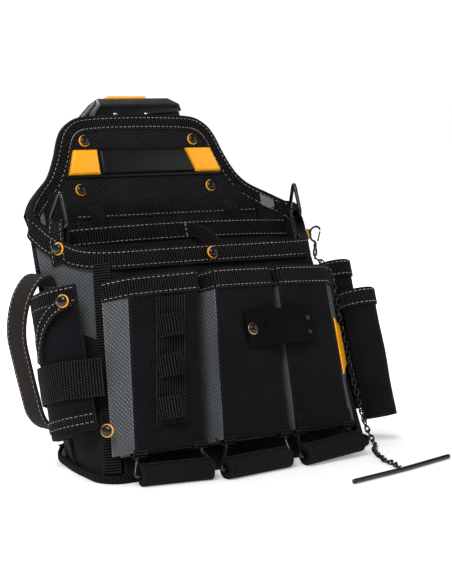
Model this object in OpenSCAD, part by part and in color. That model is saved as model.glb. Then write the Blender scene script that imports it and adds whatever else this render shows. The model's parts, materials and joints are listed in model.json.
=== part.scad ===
// Electrician tool pouch: a stiff back board with a belt hub, an open main compartment, three tall
// front pockets standing on webbing-wrapped wire bails, side pockets, and a chain for tape rolls.
// The body leans back on its flat base. Body coordinates are [across, back, up] along that lean:
// the front face of the board is at back = 0, and negative values are towards the user.

/* [Pouch] */
// Height of the back board along its lean
board_h = 354; // [345:1:365]
// Angle by which the filled pouch leans back
lean = 19; // [17:0.5:20]
// Distance from one wing tip of the board to the other
wing_span = 312; // [306:1:318]
// Depth of the main compartment at its rim
pouch_depth = 100; // [97:1:103]
// Width of the webbing that binds the edges
webbing_w = 20; // [16:1:22]
// Height of the front pockets
pocket_h = 166; // [155:1:168]

/* [Hardware] */
// Diameter of a rivet cap
rivet_d = 12; // [10:0.5:14]
// Wire diameter of the bails and strap rings
wire_d = 4; // [3:0.25:4.5]
// Diameter of the webbing roll on each bail
roll_d = 20; // [16:1:21]
// Length of the tape bar
bar_l = 145; // [120:1:150]
// Thickness of the twisted chain
chain_d = 5; // [4:0.5:5.5]

/* [Hub] */
// Width of the hub housing
hub_w = 124; // [118:1:128]
// Width of the release button
button_w = 48; // [36:1:52]
// Travel of the release button
button_travel = 3; // [2:0.5:3.5]
// Width of the belt clip
clip_w = 80; // [70:1:90]

/* [Hidden] */

$fn = 32;
skew = 0.3;                       // clearance between pieces that move past each other
shell = 3;                        // thickness of a bound fabric wall
ply = 1.3;                        // thickness of one layer of webbing
base_t = 5;                       // thickness of the base panel
wall_foot = base_t + 1.3;        // height at which the walls stand on the base
black = "#1b1c1f";
grey = "#5a6166";
web = "#2a2826";
orange = "#f9a514";
metal = "#101113";

// Moves the model so that its box is centred over the origin
centre_shift = [0.85, 0.1, 0];

// A point or a direction given in body coordinates, seen in world coordinates
function leant(p) = [p.x, p.y * cos(lean) + p.z * sin(lean), p.z * cos(lean) - p.y * sin(lean)];
// A world point seen in body coordinates
function stood(p) = [p.x, p.y * cos(lean) - p.z * sin(lean), p.y * sin(lean) + p.z * cos(lean)];
function flip(points) = [for (p = points) [-p.x, p.y, p.z]];
function unit(v) = v / norm(v);
function lift(points, h) = [for (p = points) [p.x, p.y, p.z + h]];
function mix(a, b, t) = a * (1 - t) + b * t;

// ---- shared shapes ----

// Places children that are drawn in body coordinates
module leaned() { translate(centre_shift) rotate([-lean, 0, 0]) children(); }

// Places children that are drawn in world coordinates
module standing() { translate(centre_shift) children(); }

// Direction pointing outwards at one point of a grid of points
function outward(rows, j, i) =
    let (m = len(rows) - 1, n = len(rows[0]) - 1,
         along = rows[j][min(i + 1, n)] - rows[j][max(i - 1, 0)],
         up = rows[min(j + 1, m)][i] - rows[max(j - 1, 0)][i])
    unit(cross(along, up));

// A sheet of even thickness. Rows run from bottom to top, and the points of each row from left to
// right as seen from outside. The sheet is lifted off the points by gap and thickens inwards.
module sheet(rows, thick = shell, gap = 0) {
    m = len(rows);
    n = len(rows[0]);
    outer = [for (j = [0:m - 1]) for (i = [0:n - 1]) rows[j][i] + outward(rows, j, i) * gap];
    inner = [for (j = [0:m - 1]) for (i = [0:n - 1]) rows[j][i] + outward(rows, j, i) * (gap - thick)];
    k = m * n;
    faces = concat(
        [for (j = [0:m - 2]) for (i = [0:n - 2]) each let (a = j * n + i, b = a + n)
            [[a, b, b + 1], [a, b + 1, a + 1], [k + a, k + b + 1, k + b], [k + a, k + a + 1, k + b + 1]]],
        [for (i = [0:n - 2]) each let (t = (m - 1) * n + i)
            [[i, i + 1, k + i + 1], [i, k + i + 1, k + i], [t + 1, t, k + t], [t + 1, k + t, k + t + 1]]],
        [for (j = [0:m - 2]) each let (l = j * n, r = l + n - 1)
            [[l + n, l, k + l], [l + n, k + l, k + l + n],
             [r, r + n, k + r + n], [r, k + r + n, k + r]]]);
    polyhedron(points = concat(outer, inner), faces = faces);
}

// A strap along a path, its width standing along the body's height
module band(path, width, thick = ply, gap = ply) {
    sheet([lift(path, -width / 2), lift(path, width / 2)], thick, gap);
}

// A round wire through a list of points
module wire(points, d) {
    for (i = [0:len(points) - 2]) {
        run = points[i + 1] - points[i];
        translate(points[i])
            rotate([0, acos(run.z / norm(run)), atan2(run.y, run.x)])
                cylinder(d = d, h = norm(run));
        translate(points[i]) sphere(d = d + 0.1);
    }
    translate(points[len(points) - 1]) sphere(d = d + 0.1);
}

// A domed cap standing on the plane it is drawn on
module dome(d, h) {
    r = (d * d / 4 + h * h) / (2 * h);
    rotate_extrude()
        intersection() {
            translate([0, h - r]) circle(r = r, $fn = 64);
            square([d, h]);
        }
}

// A flat ring with a hole for the cap's shank
module washer(d, hole, h) {
    difference() {
        cylinder(d = d, h = h);
        translate([0, 0, -1]) cylinder(d = hole, h = h + 2);
    }
}

// Places a rivet's axis at a point, facing a heading in the plane of the base
module facing(p, heading, tilt = 0) { translate(p) rotate([90 + tilt, 0, heading]) children(); }

// ---- back board ----

board_t = 6;
board_flat = 125;                 // half width of the flat part
board_foot = 100;                 // height at which the board meets the upright lower wall
tip = wing_span / 2;
shoulder = [[66, board_h], [78, board_h - 4], [88, board_h - 12], [94, board_h - 22],
            [102, board_h - 43], [113, board_h - 64], [board_flat, board_h - 76]];
board_edge = concat([for (i = [len(shoulder) - 1:-1:0]) [-shoulder[i].x, shoulder[i].y]], shoulder);
board_rivet_places = [[66, board_h - 25], [79, board_h - 78]];

// The board's outline with its edge drawn in by a margin
function board_outline(margin, foot) = concat(
    [[-board_flat, foot]],
    [for (p = board_edge) [p.x - sign(p.x) * margin * (abs(p.x) > 95 ? 0.85 : 0.6),
                           p.y - margin * (abs(p.x) > 95 ? 0.6 : 1)]],
    [[board_flat, foot]]);

module board_slab(outline, from, to) {
    translate([0, to, 0]) rotate([90, 0, 0]) linear_extrude(height = to - from) polygon(outline);
}

module board_rivet_holes(d) {
    for (s = [-1, 1]) for (p = board_rivet_places)
        translate([s * p.x, -1, p.y]) rotate([-90, 0, 0]) cylinder(d = d, h = board_t + 2);
}

module back_board() {
    color(black) leaned() difference() {
        board_slab(board_outline(0, board_foot), 0, board_t);
        board_rivet_holes(5);
    }
}

module board_binding() {
    color(web) leaned() {
        difference() {
            board_slab(board_outline(-ply, board_h - 78), -ply, board_t + ply);
            board_slab(board_outline(webbing_w, board_h - 200), -5, board_t + 5);
            board_slab(board_outline(0, board_foot), 0, board_t);
            for (s = [-1, 1]) for (p = board_rivet_places)
                translate([s * p.x, -5, p.y]) rotate([-90, 0, 0]) cylinder(d = rivet_d + 5, h = 20);
        }
    }
}

// The wing's upper edge falls from the board's shoulder to its tip
wing_top = [[-board_flat - skew, 0, board_h - 76.5], [-141, -14, board_h - 93], [-tip, -31, board_h - 111]];
wing_mid = [[-board_flat - skew, 0, board_foot], [-142, -15, board_foot], [-155, -33, board_foot]];
wing_foot = [stood([-126.5, 35, wall_foot]), stood([-142, -4, wall_foot]), stood([-152.5, -44, wall_foot])];

module left_wing_sheet() {
    sheet([for (row = [wing_foot, wing_mid, wing_top]) [row[2], row[1], row[0]]], shell, 0);
}
module left_wing() { color(grey) leaned() left_wing_sheet(); }
module right_wing() { color(grey) leaned() mirror([1, 0, 0]) left_wing_sheet(); }

module back_lower_wall() {
    top = stood(leant([0, 0, board_foot - 0.5]));
    color(black) leaned() sheet([
        [stood([126, 37.5, wall_foot]), stood([-126, 37.5, wall_foot])],
        [[125, board_t, top.z], [-125, board_t, top.z]]], shell, 0);
}

// ---- base ----

base_half = [[128, 38], [150, 0], [157, -45], [157, -92], [150, -104], [138, -111]];
base_outline = concat(base_half, [for (i = [len(base_half) - 1:-1:0]) [-base_half[i].x, base_half[i].y]]);

module base_panel() {
    color(black) standing() linear_extrude(height = base_t) polygon(base_outline);
}

module base_binding() {
    grown = [for (p = base_outline) [p.x + sign(p.x) * 2.5, p.y + (p.y > 0 ? 2.5 : -2.5)]];
    color(web) standing() difference() {
        linear_extrude(height = base_t + 3) polygon(grown);
        translate([0, 0, -1]) linear_extrude(height = base_t + 5) polygon(base_outline);
    }
}

// ---- walls of the main compartment ----

rim_h = 185;                      // height of the rim at the front
corner_top = [-122, -pouch_depth + 7, rim_h + 2];
front_top = [-117, -pouch_depth, rim_h];

gusset_foot = [stood([-152.5, -45, wall_foot]), stood([-154, -72, wall_foot]), stood([-150, -95, wall_foot])];
gusset_top = [[-tip, -32, board_h - 114], [-141, -62, 212], corner_top];

module left_gusset_sheet() { sheet([gusset_foot, gusset_top], shell, 0); }
module left_gusset() { color(grey) leaned() left_gusset_sheet(); }
module right_gusset() { color(grey) leaned() mirror([1, 0, 0]) left_gusset_sheet(); }

module corner_bindings() {
    strip = [[stood([-149.6, -96, wall_foot]), stood([-137, -106.5, wall_foot])],
             [corner_top + [0.4, -0.9, 0], front_top + [-0.8, 0, 0]]];
    color(web) leaned() for (s = [0, 1]) mirror([s, 0, 0]) sheet(strip, 1.8, 0);
}

module front_panel() {
    foot = [for (x = [-133.5, 0, 133.5]) stood([x, -107, wall_foot])];
    top = [front_top + [3, 0, 0], [0, -pouch_depth - 3, rim_h], flip([front_top + [3, 0, 0]])[0]];
    color(black) leaned() sheet([foot, top], shell, 0);
}

// Centre line of the rim, from the left wing tip round the front to the right one
rim_left = [[-tip - 1, -33, board_h - 121], [-142.5, -63, 204], [-123, -pouch_depth + 5, 180],
            [-117, -pouch_depth - 1, 178]];
rim_path = concat(rim_left, [[0, -pouch_depth - 4.5, 178]],
                  flip([for (i = [3:-1:0]) rim_left[i]]));

module rim_band() { color(web) leaned() band(rim_path, webbing_w, ply, ply + 0.9); }

// ---- hub, button and belt clip ----

hub_front = 8;
hub_back = 34;
hub_foot = board_h - 54;
hub_top = board_h + 24;
latch_v = 9.5;                    // front of the latch's own room
tongue_v = 18.2;                  // front of the clip's tongue
tongue_t = 5;
button_v = [13, 26];

module block(x, y, z) { translate([x[0], y[0], z[0]]) cube([x[1] - x[0], y[1] - y[0], z[1] - z[0]]); }

module hub_housing() {
    half = hub_w / 2;
    profile = [[-half, hub_foot], [half, hub_foot], [half, hub_top - 25], [half - 4, hub_top - 10],
               [half - 21, hub_top], [-half + 21, hub_top], [-half + 4, hub_top - 10], [-half, hub_top - 25]];
    color(metal) leaned() difference() {
        board_slab(profile, hub_front, hub_back);
        block([-31, 31], [tongue_v - skew, tongue_v + tongue_t + skew], [hub_foot - 1, hub_top - 27]);
        block([-15, 15], [latch_v, tongue_v], [hub_foot + 20, hub_top - 27]);
        block([-button_w / 2 - skew, button_w / 2 + skew], [button_v[0] - skew, button_v[1] + skew],
              [hub_top - 17 - button_travel, hub_top + 1]);
        block([-7, 7], [button_v[0] - skew, tongue_v], [hub_top - 28, hub_top - 19]);
        for (s = [-1, 1]) translate([s * 19, hub_front - 1, hub_top - 17])
            rotate([-90, 0, 0]) cylinder(d = 3.4, h = 5);
    }
}

module hub_screws() {
    color("silver") leaned() for (s = [-1, 1]) translate([s * 19, hub_front, hub_top - 17])
        rotate([90, 0, 0]) {
            dome(5.5, 1.4);
            translate([0, 0, -3.5]) cylinder(d = 3, h = 3.5);
        }
}

module release_button() {
    color(orange) leaned() {
        block([-button_w / 2, button_w / 2], button_v, [hub_top - 8, hub_top + 4]);
        block([-6, 6], [button_v[0], button_v[0] + 4], [hub_top - 22, hub_top - 7.9]);
    }
}

module button_spring() {
    coils = 4;
    color("silver") leaned() for (s = [-1, 1]) translate([s * 15, 19.5, hub_top - 8.6])
        for (i = [0:coils - 1]) translate([0, 0, -1.8 * i])
            rotate_extrude() translate([3, 0]) circle(d = 1.2, $fn = 24);
}

module latch_plate() {
    color("silver") leaned() {
        block([-13, 13], [13.2, 16.2], [hub_foot + 22, hub_top - 29]);
        block([-6, 6], [16.1, 17.6], [hub_foot + 26, hub_foot + 34]);
    }
}

module belt_clip() {
    gap_v = hub_back + 8;
    foot = board_h - 130;
    color(metal) leaned() {
        difference() {
            block([-30, 30], [tongue_v, tongue_v + tongue_t], [hub_foot - 20, hub_top - 30]);
            block([-8, 8], [tongue_v - 1, tongue_v + tongue_t + 1], [hub_foot + 22, hub_foot + 38]);
        }
        block([-clip_w / 2, clip_w / 2], [tongue_v, tongue_v + tongue_t], [foot, hub_foot - 19.9]);
        block([-clip_w / 2, clip_w / 2], [tongue_v + tongue_t - 0.1, gap_v + 6], [foot, foot + 9]);
        block([-clip_w / 2, clip_w / 2], [gap_v, gap_v + 6], [foot + 8.9, hub_foot + 40]);
    }
}

// ---- name plate ----

plate_h = 27;
plate_foot = board_h - 63;
plate_slope = 9 / plate_h;        // how far each end leans outwards per unit of height, downwards
plate_half = 83;                  // half width along the top edge
cap_w = 32;

// A bar with slanted ends, from one pair of half widths to another
module plate_bar(left, right, foot, h, front, back, slope_left, slope_right) {
    translate([0, back, 0]) rotate([90, 0, 0]) linear_extrude(height = back - front)
        polygon([[left - slope_left * h, foot], [right + slope_right * h, foot], [right, foot + h], [left, foot + h]]);
}

module name_plate_base() {
    color(metal) leaned()
        plate_bar(-plate_half - 2, plate_half + 2, plate_foot - 2, plate_h + 3, -2.8, -1.4, plate_slope, plate_slope);
}

module name_plate() {
    color(metal) leaned()
        plate_bar(-plate_half + cap_w - 2, plate_half - cap_w, plate_foot, plate_h, -6.8, -2.8, 0, plate_slope);
}

module name_plate_caps() {
    color(orange) leaned() {
        plate_bar(-plate_half, -plate_half + cap_w - 2.3, plate_foot, plate_h, -7.8, -2.8, plate_slope, 0);
        plate_bar(plate_half - cap_w + 0.3, plate_half, plate_foot, plate_h, -7.8, -2.8, -plate_slope, plate_slope);
    }
}

// ---- rivets ----

// Rivets through the rim, the ring tabs and the left side: a point and a heading each
loose_rivets = [[[-147.6, -66.5, 200], -62], [[147.6, -66.5, 200], 62], [[0, -pouch_depth - 8.2, 178], 0],
                [[-168, -100, 142], -48], [[-152, -117.5, 14], -48]];

module rivets() {
    color(metal) leaned() {
        for (s = [-1, 1]) for (p = board_rivet_places) {
            translate([s * p.x, -1, p.y]) rotate([90, 0, 0]) dome(rivet_d - 1.5, 3);
            translate([s * p.x, -1.1, p.y]) rotate([-90, 0, 0]) cylinder(d = 4.6, h = board_t + 1.2);
            translate([s * p.x, board_t + 0.1, p.y]) rotate([-90, 0, 0]) cylinder(d = rivet_d - 2, h = 1.2);
        }
        for (spot = loose_rivets) facing(spot[0], spot[1]) translate([0, 0, 1]) dome(rivet_d - 1.5, 3);
    }
}

module rivet_rings() {
    color(orange) leaned() {
        for (s = [-1, 1]) for (p = board_rivet_places)
            translate([s * p.x, 0, p.y]) rotate([90, 0, 0]) washer(rivet_d, 4.8, 1);
        for (spot = loose_rivets) facing(spot[0], spot[1]) washer(rivet_d, 4.8, 1);
    }
}

// ---- inner pockets ----

inner_gap = 12;                   // room between the inner pocket and the board
inner_top = board_h - 99;
inner_foot = 130;
pen_loop_v = 29;                  // distance of a pen loop's front from the board

module inner_pocket_back() {
    color(black) leaned() {
        block([-96, 122], [-inner_gap - 2, -inner_gap], [inner_foot, inner_top]);
        for (x = [-96, -30, 40, 120]) block([x, x + 2], [-inner_gap + 0.01, -0.3], [inner_foot, inner_top - 14]);
        block([-96, 122], [-inner_gap + 0.01, -0.3], [inner_foot, inner_foot + 2]);
    }
}

module inner_pocket_back_webbing() {
    spans = [[-96, -80], [-66, 84], [96, 122]];
    color(web) leaned() for (s = spans)
        block(s, [-inner_gap - 2 - ply, -inner_gap - 2.05], [inner_top - 14, inner_top + 1]);
}

module pen_loops() {
    color(web) leaned() for (x = [-73, 90]) {
        block([x - 7, x + 7], [-pen_loop_v, 1.5 - pen_loop_v], [inner_top - 26, inner_top - 8]);
        for (s = [-1, 1]) block([x + s * 6.25 - 0.75, x + s * 6.25 + 0.75], [1.4 - pen_loop_v, -inner_gap - 2.1],
                                [inner_top - 26, inner_top - 8]);
    }
}

divider = [[-136, -46], [-60, -58], [0, -60], [60, -58], [136, -46]];

module divider_panel() {
    color(black) leaned() sheet([[for (p = divider) [p.x, p.y, 40]], [for (p = divider) [p.x, p.y, 222]]], 2, 0);
}
module divider_webbing() {
    color(web) leaned() band([for (p = divider) [p.x, p.y - 0.2, 214]], webbing_w - 2, ply, ply);
}

// ---- ring tabs and strap rings ----

ring_at = [-141, -60, 224];       // middle of the left ring's base bar
ring_turn = [0, 21, -78];         // turns the bar from the X axis to run along the rim
rim_heading = -62;                // heading of the rim where the tab crosses it
ring_w = 33;
ring_h = 36;

module on_left_ring() { translate(ring_at) rotate(ring_turn) children(); }

module ring_tabs() {
    color(web) leaned() for (s = [0, 1]) mirror([s, 0, 0]) on_left_ring() {
        difference() {
            translate([-7, 0, 0]) rotate([0, 90, 0]) cylinder(d = wire_d + 4, h = 14);
            translate([-8, 0, 0]) rotate([0, 90, 0]) cylinder(d = wire_d + 0.6, h = 16);
        }
        translate([-9, -6.6, -4.6]) cube([18, 6.5, 1.4]);
    }
    color(web) leaned() for (s = [0, 1]) mirror([s, 0, 0]) translate(ring_at) rotate([0, 0, rim_heading])
        translate([-9, -8, -38]) cube([18, 1.6, 34]);
}

module strap_ring() {
    wire([[-ring_w / 2, 0, 0], [0, 0, ring_h], [ring_w / 2, 0, 0], [-ring_w / 2, 0, 0]], wire_d);
}
module left_ring() { color(metal) leaned() on_left_ring() strap_ring(); }
module right_ring() { color(metal) leaned() mirror([1, 0, 0]) on_left_ring() strap_ring(); }

// ---- front pockets ----

pocket_top = pocket_h - 10;
pocket_foot = -10;
// Each pocket's outline in plan, rear left, front left, front right, rear right: at its top and foot
pocket_plans = [
    [[[-128, -105.5], [-108, -124], [-37, -134], [-32, -105.5]],
     [[-146, -106.5], [-130, -124], [-62, -134], [-52, -106]]],
    [[[-29, -106], [-18, -136], [51, -128], [55, -106]],
     [[-49, -106], [-40, -136], [36, -130], [43, -106]]],
    [[[58, -105.5], [60, -128], [125, -115], [143, -97]],
     [[46, -106], [47, -130], [119, -120], [138, -102]]]];

// One corner of a pocket's plan at a height up the pocket
function pocket_point(plans, corner, w) =
    let (t = (w - pocket_foot) / (pocket_top - pocket_foot), p = mix(plans[1][corner], plans[0][corner], t))
    [p.x, p.y, w];
function pocket_row(plans, corners, w) = [for (c = corners) pocket_point(plans, c, w)];

module pocket_face(plans) {
    sheet([pocket_row(plans, [1, 2], pocket_foot), pocket_row(plans, [1, 2], pocket_top)], 2, 0);
}

module front_pocket_left() { color(black) leaned() pocket_face(pocket_plans[0]); }
module front_pocket_center() { color(black) leaned() pocket_face(pocket_plans[1]); }
module front_pocket_right() { color(black) leaned() pocket_face(pocket_plans[2]); }

module pocket_gussets() {
    in = [0, 2.2, 0];
    color(grey) leaned() for (plans = pocket_plans) {
        for (side = [[0, 1], [2, 3]])
            sheet([for (w = [pocket_foot, pocket_top]) [for (c = side)
                pocket_point(plans, c, w) + (c == 1 || c == 2 ? in : [0, 0, 0])]], 2, 0);
        foot = pocket_row(plans, [0, 1, 2, 3], pocket_foot);
        sheet([[foot[1] + [5, 3.4, 0.2], foot[2] + [-5, 3.4, 0.2]],
               [foot[0] + [8, -1, 0.2], foot[3] + [-9, -3.5, 0.2]]], 2, 0);
    }
}

module pocket_webbing() {
    color(web) leaned() for (plans = pocket_plans)
        sheet([for (w = [pocket_top - webbing_w, pocket_top]) pocket_row(plans, [0, 1, 2, 3], w)], ply, ply + 0.15);
}

// ---- fittings on the front pockets ----

// The strip runs down the left pocket: its left edge and height at the top and at the foot
strip_w = 30;
strip_top = [-85, 133];
strip_foot = [-107, 12];

function strip_point(x, w) =
    let (t = (w - strip_foot[1]) / (strip_top[1] - strip_foot[1]), left = mix(strip_foot[0], strip_top[0], t),
         plans = pocket_plans[0], a = pocket_point(plans, 1, w), b = pocket_point(plans, 2, w),
         f = (left + x - a.x) / (b.x - a.x))
    mix(a, b, f);

module bit_loop_strip() {
    color(web) leaned() sheet([for (w = [strip_foot[1], strip_top[1]])
        [strip_point(0, w), strip_point(strip_w, w)]], ply, ply + 0.1);
}

bit_loop_h = 21;
bit_loop_spots = [26, 66, 104];
bit_bulge = 11;

module bit_loops() {
    steps = 6;
    color(web) leaned() for (c = bit_loop_spots)
        sheet([for (w = [c - bit_loop_h / 2, c + bit_loop_h / 2]) [for (i = [0:steps])
            strip_point(2 + (strip_w - 4) * i / steps, w) - [0, 3.2 + bit_bulge * sin(180 * i / steps), 0]]], 1.5, 0);
}

clip_from = [5, -138.5];           // left end of the tape clip in plan
clip_to = [90, -132];
clip_foot = 75;
clip_h = 36;

module on_tape_clip() {
    run = clip_to - clip_from;
    translate([clip_from.x, clip_from.y, clip_foot]) rotate([0, 0, atan2(run.y, run.x)]) children();
}

module tape_clip() {
    long = norm(clip_to - clip_from);
    color(metal) leaned() on_tape_clip() {
        translate([0, 1, 0]) cube([22, 1.5, clip_h]);
        translate([20, -3, 0]) cube([1.5, 4.1, clip_h]);
        translate([20, -4.4, 0]) cube([long - 34, 1.5, clip_h]);
        translate([long - 15.5, -3, 0]) cube([1.5, 4.1, clip_h]);
        translate([long - 15.5, 1, 0]) cube([15.5, 1.5, clip_h]);
    }
}

module tape_clip_rivets() {
    long = norm(clip_to - clip_from);
    color("goldenrod") leaned() on_tape_clip() {
        translate([8, 1, clip_h / 2]) rotate([90, 0, 0]) dome(rivet_d - 1, 3);
        for (z = [0.3, 0.7]) translate([long - 7, 1, clip_h * z]) rotate([90, 0, 0]) dome(5, 1.2);
    }
}

module side_tag() {
    plans = pocket_plans[2];
    function on_gusset(t, w) = mix(pocket_point(plans, 2, w), pocket_point(plans, 3, w), t);
    color(orange) leaned() sheet([
        [on_gusset(0.05, 42), on_gusset(0.95, 52)],
        [on_gusset(0.05, 99), on_gusset(0.9, 91)]], 1, 1.4);
}

// ---- bails ----

// Ends of each bail's roll, standing on the floor
roll_ends = [
    [[-134, -126, roll_d / 2], [-53, -139, roll_d / 2]],
    [[-50, -147, roll_d / 2], [38, -137, roll_d / 2]],
    [[46, -143, roll_d / 2], [128, -136, roll_d / 2 + 5]]];
// The world points at which each bail hangs from its pocket's lower corners
bail_tops = [for (k = [0:2]) [for (c = [1, 2])
    leant(pocket_point(pocket_plans[k], c, pocket_foot)) + [c == 1 ? 2 : -2, 1.5, -6.5]]];

module bail(k) {
    standing() wire([bail_tops[k][0], roll_ends[k][0], roll_ends[k][1], bail_tops[k][1]], wire_d);
}
module bail_left() { color(metal) bail(0); }
module bail_center() { color(metal) bail(1); }
module bail_right() { color(metal) bail(2); }

module bail_rolls() {
    inset = 6;
    color(web) standing() for (ends = roll_ends) {
        run = ends[1] - ends[0];
        translate(ends[0] + unit(run) * inset) rotate([0, acos(run.z / norm(run)), atan2(run.y, run.x)])
            difference() {
                cylinder(d = roll_d, h = norm(run) - 2 * inset, $fn = 48);
                translate([0, 0, -1]) cylinder(d = wire_d + 0.1, h = norm(run));
            }
    }
}

module bail_tabs() {
    color(web) standing() for (ends = bail_tops) for (p = ends) translate(p + [0, 0, wire_d / 2 + 0.2])
        cylinder(d = 7, h = 1.6);
}

// ---- left side: hammer loop, side pocket, elastic and sling ----

loop_w = 28;
loop_y = 16;                      // where the loop hangs, from front to back
loop_path = [[-158.5, 171], [-165, 183], [-175, 183], [-186, 168], [-192, 146], [-194, 122],
             [-190, 92], [-181, 62], [-168, 40], [-152, 28], [-141, 26]];

module hammer_loop() {
    color("#2b2725") standing() sheet([
        for (y = [loop_y - loop_w / 2, loop_y + loop_w / 2]) [for (p = loop_path) [p.x, y, p.y]]], 2.6, 0);
}

side_plan = [[-158.5, -22], [-172, -38], [-176, -58], [-170, -80], [-152, -99]];
side_foot = 18;
side_top = 158;

function side_row(w) =
    let (t = (side_top - w) / (side_top - side_foot))
    [for (p = side_plan) [p.x - 3 * t, p.y - 6 * t, w]];

module side_pocket() {
    color(black) leaned() {
        sheet([side_row(side_foot), side_row(side_top)], 2, 0);
        foot = [for (i = [0:3]) side_row(side_foot)[i]];
        sheet([[for (p = foot) p + [2.5, 0, 0.2]], [for (p = foot) [-157, p.y, p.z + 0.2]]], 2, 2);
    }
}

module side_pocket_webbing() {
    color(web) leaned() {
        sheet([side_row(side_top - 18), side_row(side_top)], ply, ply + 0.15);
        sheet([side_row(side_foot + 5), side_row(side_foot + 17)], ply, ply + 0.15);
    }
}

module elastic_band() {
    path = [[-160, -16, 74], [-174, -37, 75], [-180.5, -60, 75], [-174, -86, 74], [-157, -104, 72], [-146, -112, 71]];
    color(web) leaned() band(path, 36, 1.8, 2.2);
}

module sling_strap() {
    path = [[-180.5, -62, 108], [-182.5, -70, 118], [-180, -80, 128], [-172, -92, 134], [-160, -102, 138]];
    color(web) leaned() band(path, 12, ply, ply + 1);
}

// ---- right side: sleeves, snap, chain and bar ----

sleeve_t = 2.2;
upper_sleeve_at = [176, -66];
upper_sleeve_r = 17.5;
lower_sleeve_at = [170.5, -104];
lower_sleeve_r = 19;

module tube(at, r, foot, top) {
    translate([at.x, at.y, foot]) difference() {
        cylinder(r = r, h = top - foot, $fn = 48);
        translate([0, 0, -1]) cylinder(r = r - sleeve_t, h = top - foot + 2, $fn = 48);
    }
}

module upper_sleeve() { color(black) leaned() tube(upper_sleeve_at, upper_sleeve_r, 30, 166); }
module lower_sleeve() { color(black) leaned() tube(lower_sleeve_at, lower_sleeve_r, -6, 124); }

module sleeve_webbing() {
    color(web) leaned() for (s = [[upper_sleeve_at, upper_sleeve_r, 167], [lower_sleeve_at, lower_sleeve_r, 125]])
        translate([s[0].x, s[0].y, s[2] - 18]) difference() {
            cylinder(r = s[1] + ply + 0.1, h = 18, $fn = 48);
            translate([0, 0, -1]) cylinder(r = s[1] + 0.1, h = 20, $fn = 48);
        }
}

// Middle of the snap's lower ring, in world coordinates
snap_at = [134.5, -31, 195];

module snap_hook() {
    color(metal) standing() translate(snap_at) {
        rotate([90, 0, 35]) rotate_extrude() translate([4.2, 0]) circle(d = 2.4, $fn = 24);
        translate([0, 0, 5]) cylinder(d = 3.8, h = 6);
        wire([[0, 0, 11.2], [-4.4, 2.6, 15], [-4.4, 2.6, 23], [0, 0, 27], [4.2, -2.4, 24]], 2.4);
    }
}

module snap_gate() {
    color(metal) standing() translate(snap_at) wire([[2.5, -1.5, 12.4], [4.2, -2.4, 21.2]], 1.8);
}

// The chain's route, from the snap down past the pocket's corner and out over the floor
chain_route = [
    [134.5, -32, 188.5], [140, -36.5, 184], [146.5, -42.5, 173], [147, -51, 150], [147, -59, 128], [147, -69, 102],
    [147, -79, 78], [147.4, -89, 54], [147.6, -99, 32], [148.6, -108, 16], [148.5, -117, 7], [145, -126, 3],
    [137, -134, 3], [132, -143, 3], [127, -153, 3], [124, -163, 3], [119, -174, 3],
    [118, -188, 3], [114, -203.5, 3]];

// A point on a smooth curve through the route, part of the way along one of its runs
function on_route(p, i, t) =
    let (n = len(p) - 1, a = p[max(i - 1, 0)], b = p[i], c = p[min(i + 1, n)], d = p[min(i + 2, n)])
    ((b * 2) + (c - a) * t + (a * 2 - b * 5 + c * 4 - d) * t * t + (b * 3 - a - c * 3 + d) * t * t * t) / 2;

// A round tube swept along a route
module swept(route, d, steps, sides) {
    line = concat([for (i = [0:len(route) - 2]) for (k = [0:steps - 1]) on_route(route, i, k / steps)],
                  [route[len(route) - 1]]);
    n = len(line);
    rings = [for (i = [0:n - 1])
        let (along = unit(line[min(i + 1, n - 1)] - line[max(i - 1, 0)]),
             side = unit(cross(along, [0.8, 0.5, 0.33])), up = cross(along, side))
        each [for (k = [0:sides - 1]) line[i] + (side * cos(360 * k / sides) + up * sin(360 * k / sides)) * d / 2]];
    walls = [for (i = [0:n - 2]) for (k = [0:sides - 1])
        let (a = i * sides + k, b = i * sides + (k + 1) % sides) each [[a, b, b + sides], [a, b + sides, a + sides]]];
    caps = [[for (k = [sides - 1:-1:0]) k], [for (k = [0:sides - 1]) (n - 1) * sides + k]];
    polyhedron(points = rings, faces = concat(walls, caps));
}

module tape_chain() { color(metal) standing() swept(chain_route, chain_d, 2, 8); }

bar_d = 4.9;
bar_middle = [114, -212.4, 2.6];
bar_heading = 12;
bar_bend = 2;                     // each half of the bar droops back by this angle

module tape_bar() {
    reach = bar_l / 2;
    turns = [bar_heading + 180 - bar_bend, bar_heading + bar_bend];
    ends = [for (a = turns) bar_middle + reach * [cos(a), sin(a), 0]];
    color(metal) standing() swept([ends[0], bar_middle, ends[1]], bar_d, 6, 12);
}

back_board();
board_binding();
left_wing();
right_wing();
back_lower_wall();
base_panel();
base_binding();
left_gusset();
right_gusset();
corner_bindings();
front_panel();
rim_band();
hub_housing();
hub_screws();
release_button();
button_spring();
latch_plate();
belt_clip();
name_plate();
name_plate_caps();
name_plate_base();
rivets();
rivet_rings();
inner_pocket_back();
inner_pocket_back_webbing();
pen_loops();
divider_panel();
divider_webbing();
ring_tabs();
left_ring();
right_ring();
front_pocket_left();
front_pocket_center();
front_pocket_right();
pocket_gussets();
pocket_webbing();
bit_loop_strip();
bit_loops();
tape_clip();
tape_clip_rivets();
side_tag();
bail_left();
bail_center();
bail_right();
bail_rolls();
bail_tabs();
hammer_loop();
side_pocket();
side_pocket_webbing();
elastic_band();
sling_strap();
upper_sleeve();
lower_sleeve();
sleeve_webbing();
snap_hook();
snap_gate();
tape_chain();
tape_bar();
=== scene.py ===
"""Looks of an electrician's tool pouch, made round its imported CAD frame.

Sizes are in millimetres in the pouch's own axes until body() or floor() turns them into metres in
the frame. Body axes lean back with the pouch: X to its left side as worn, Y towards the belt, Z up
the back board.
"""

import json
import logging
import math
from dataclasses import dataclass
from enum import Enum
from typing import Sequence

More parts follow.
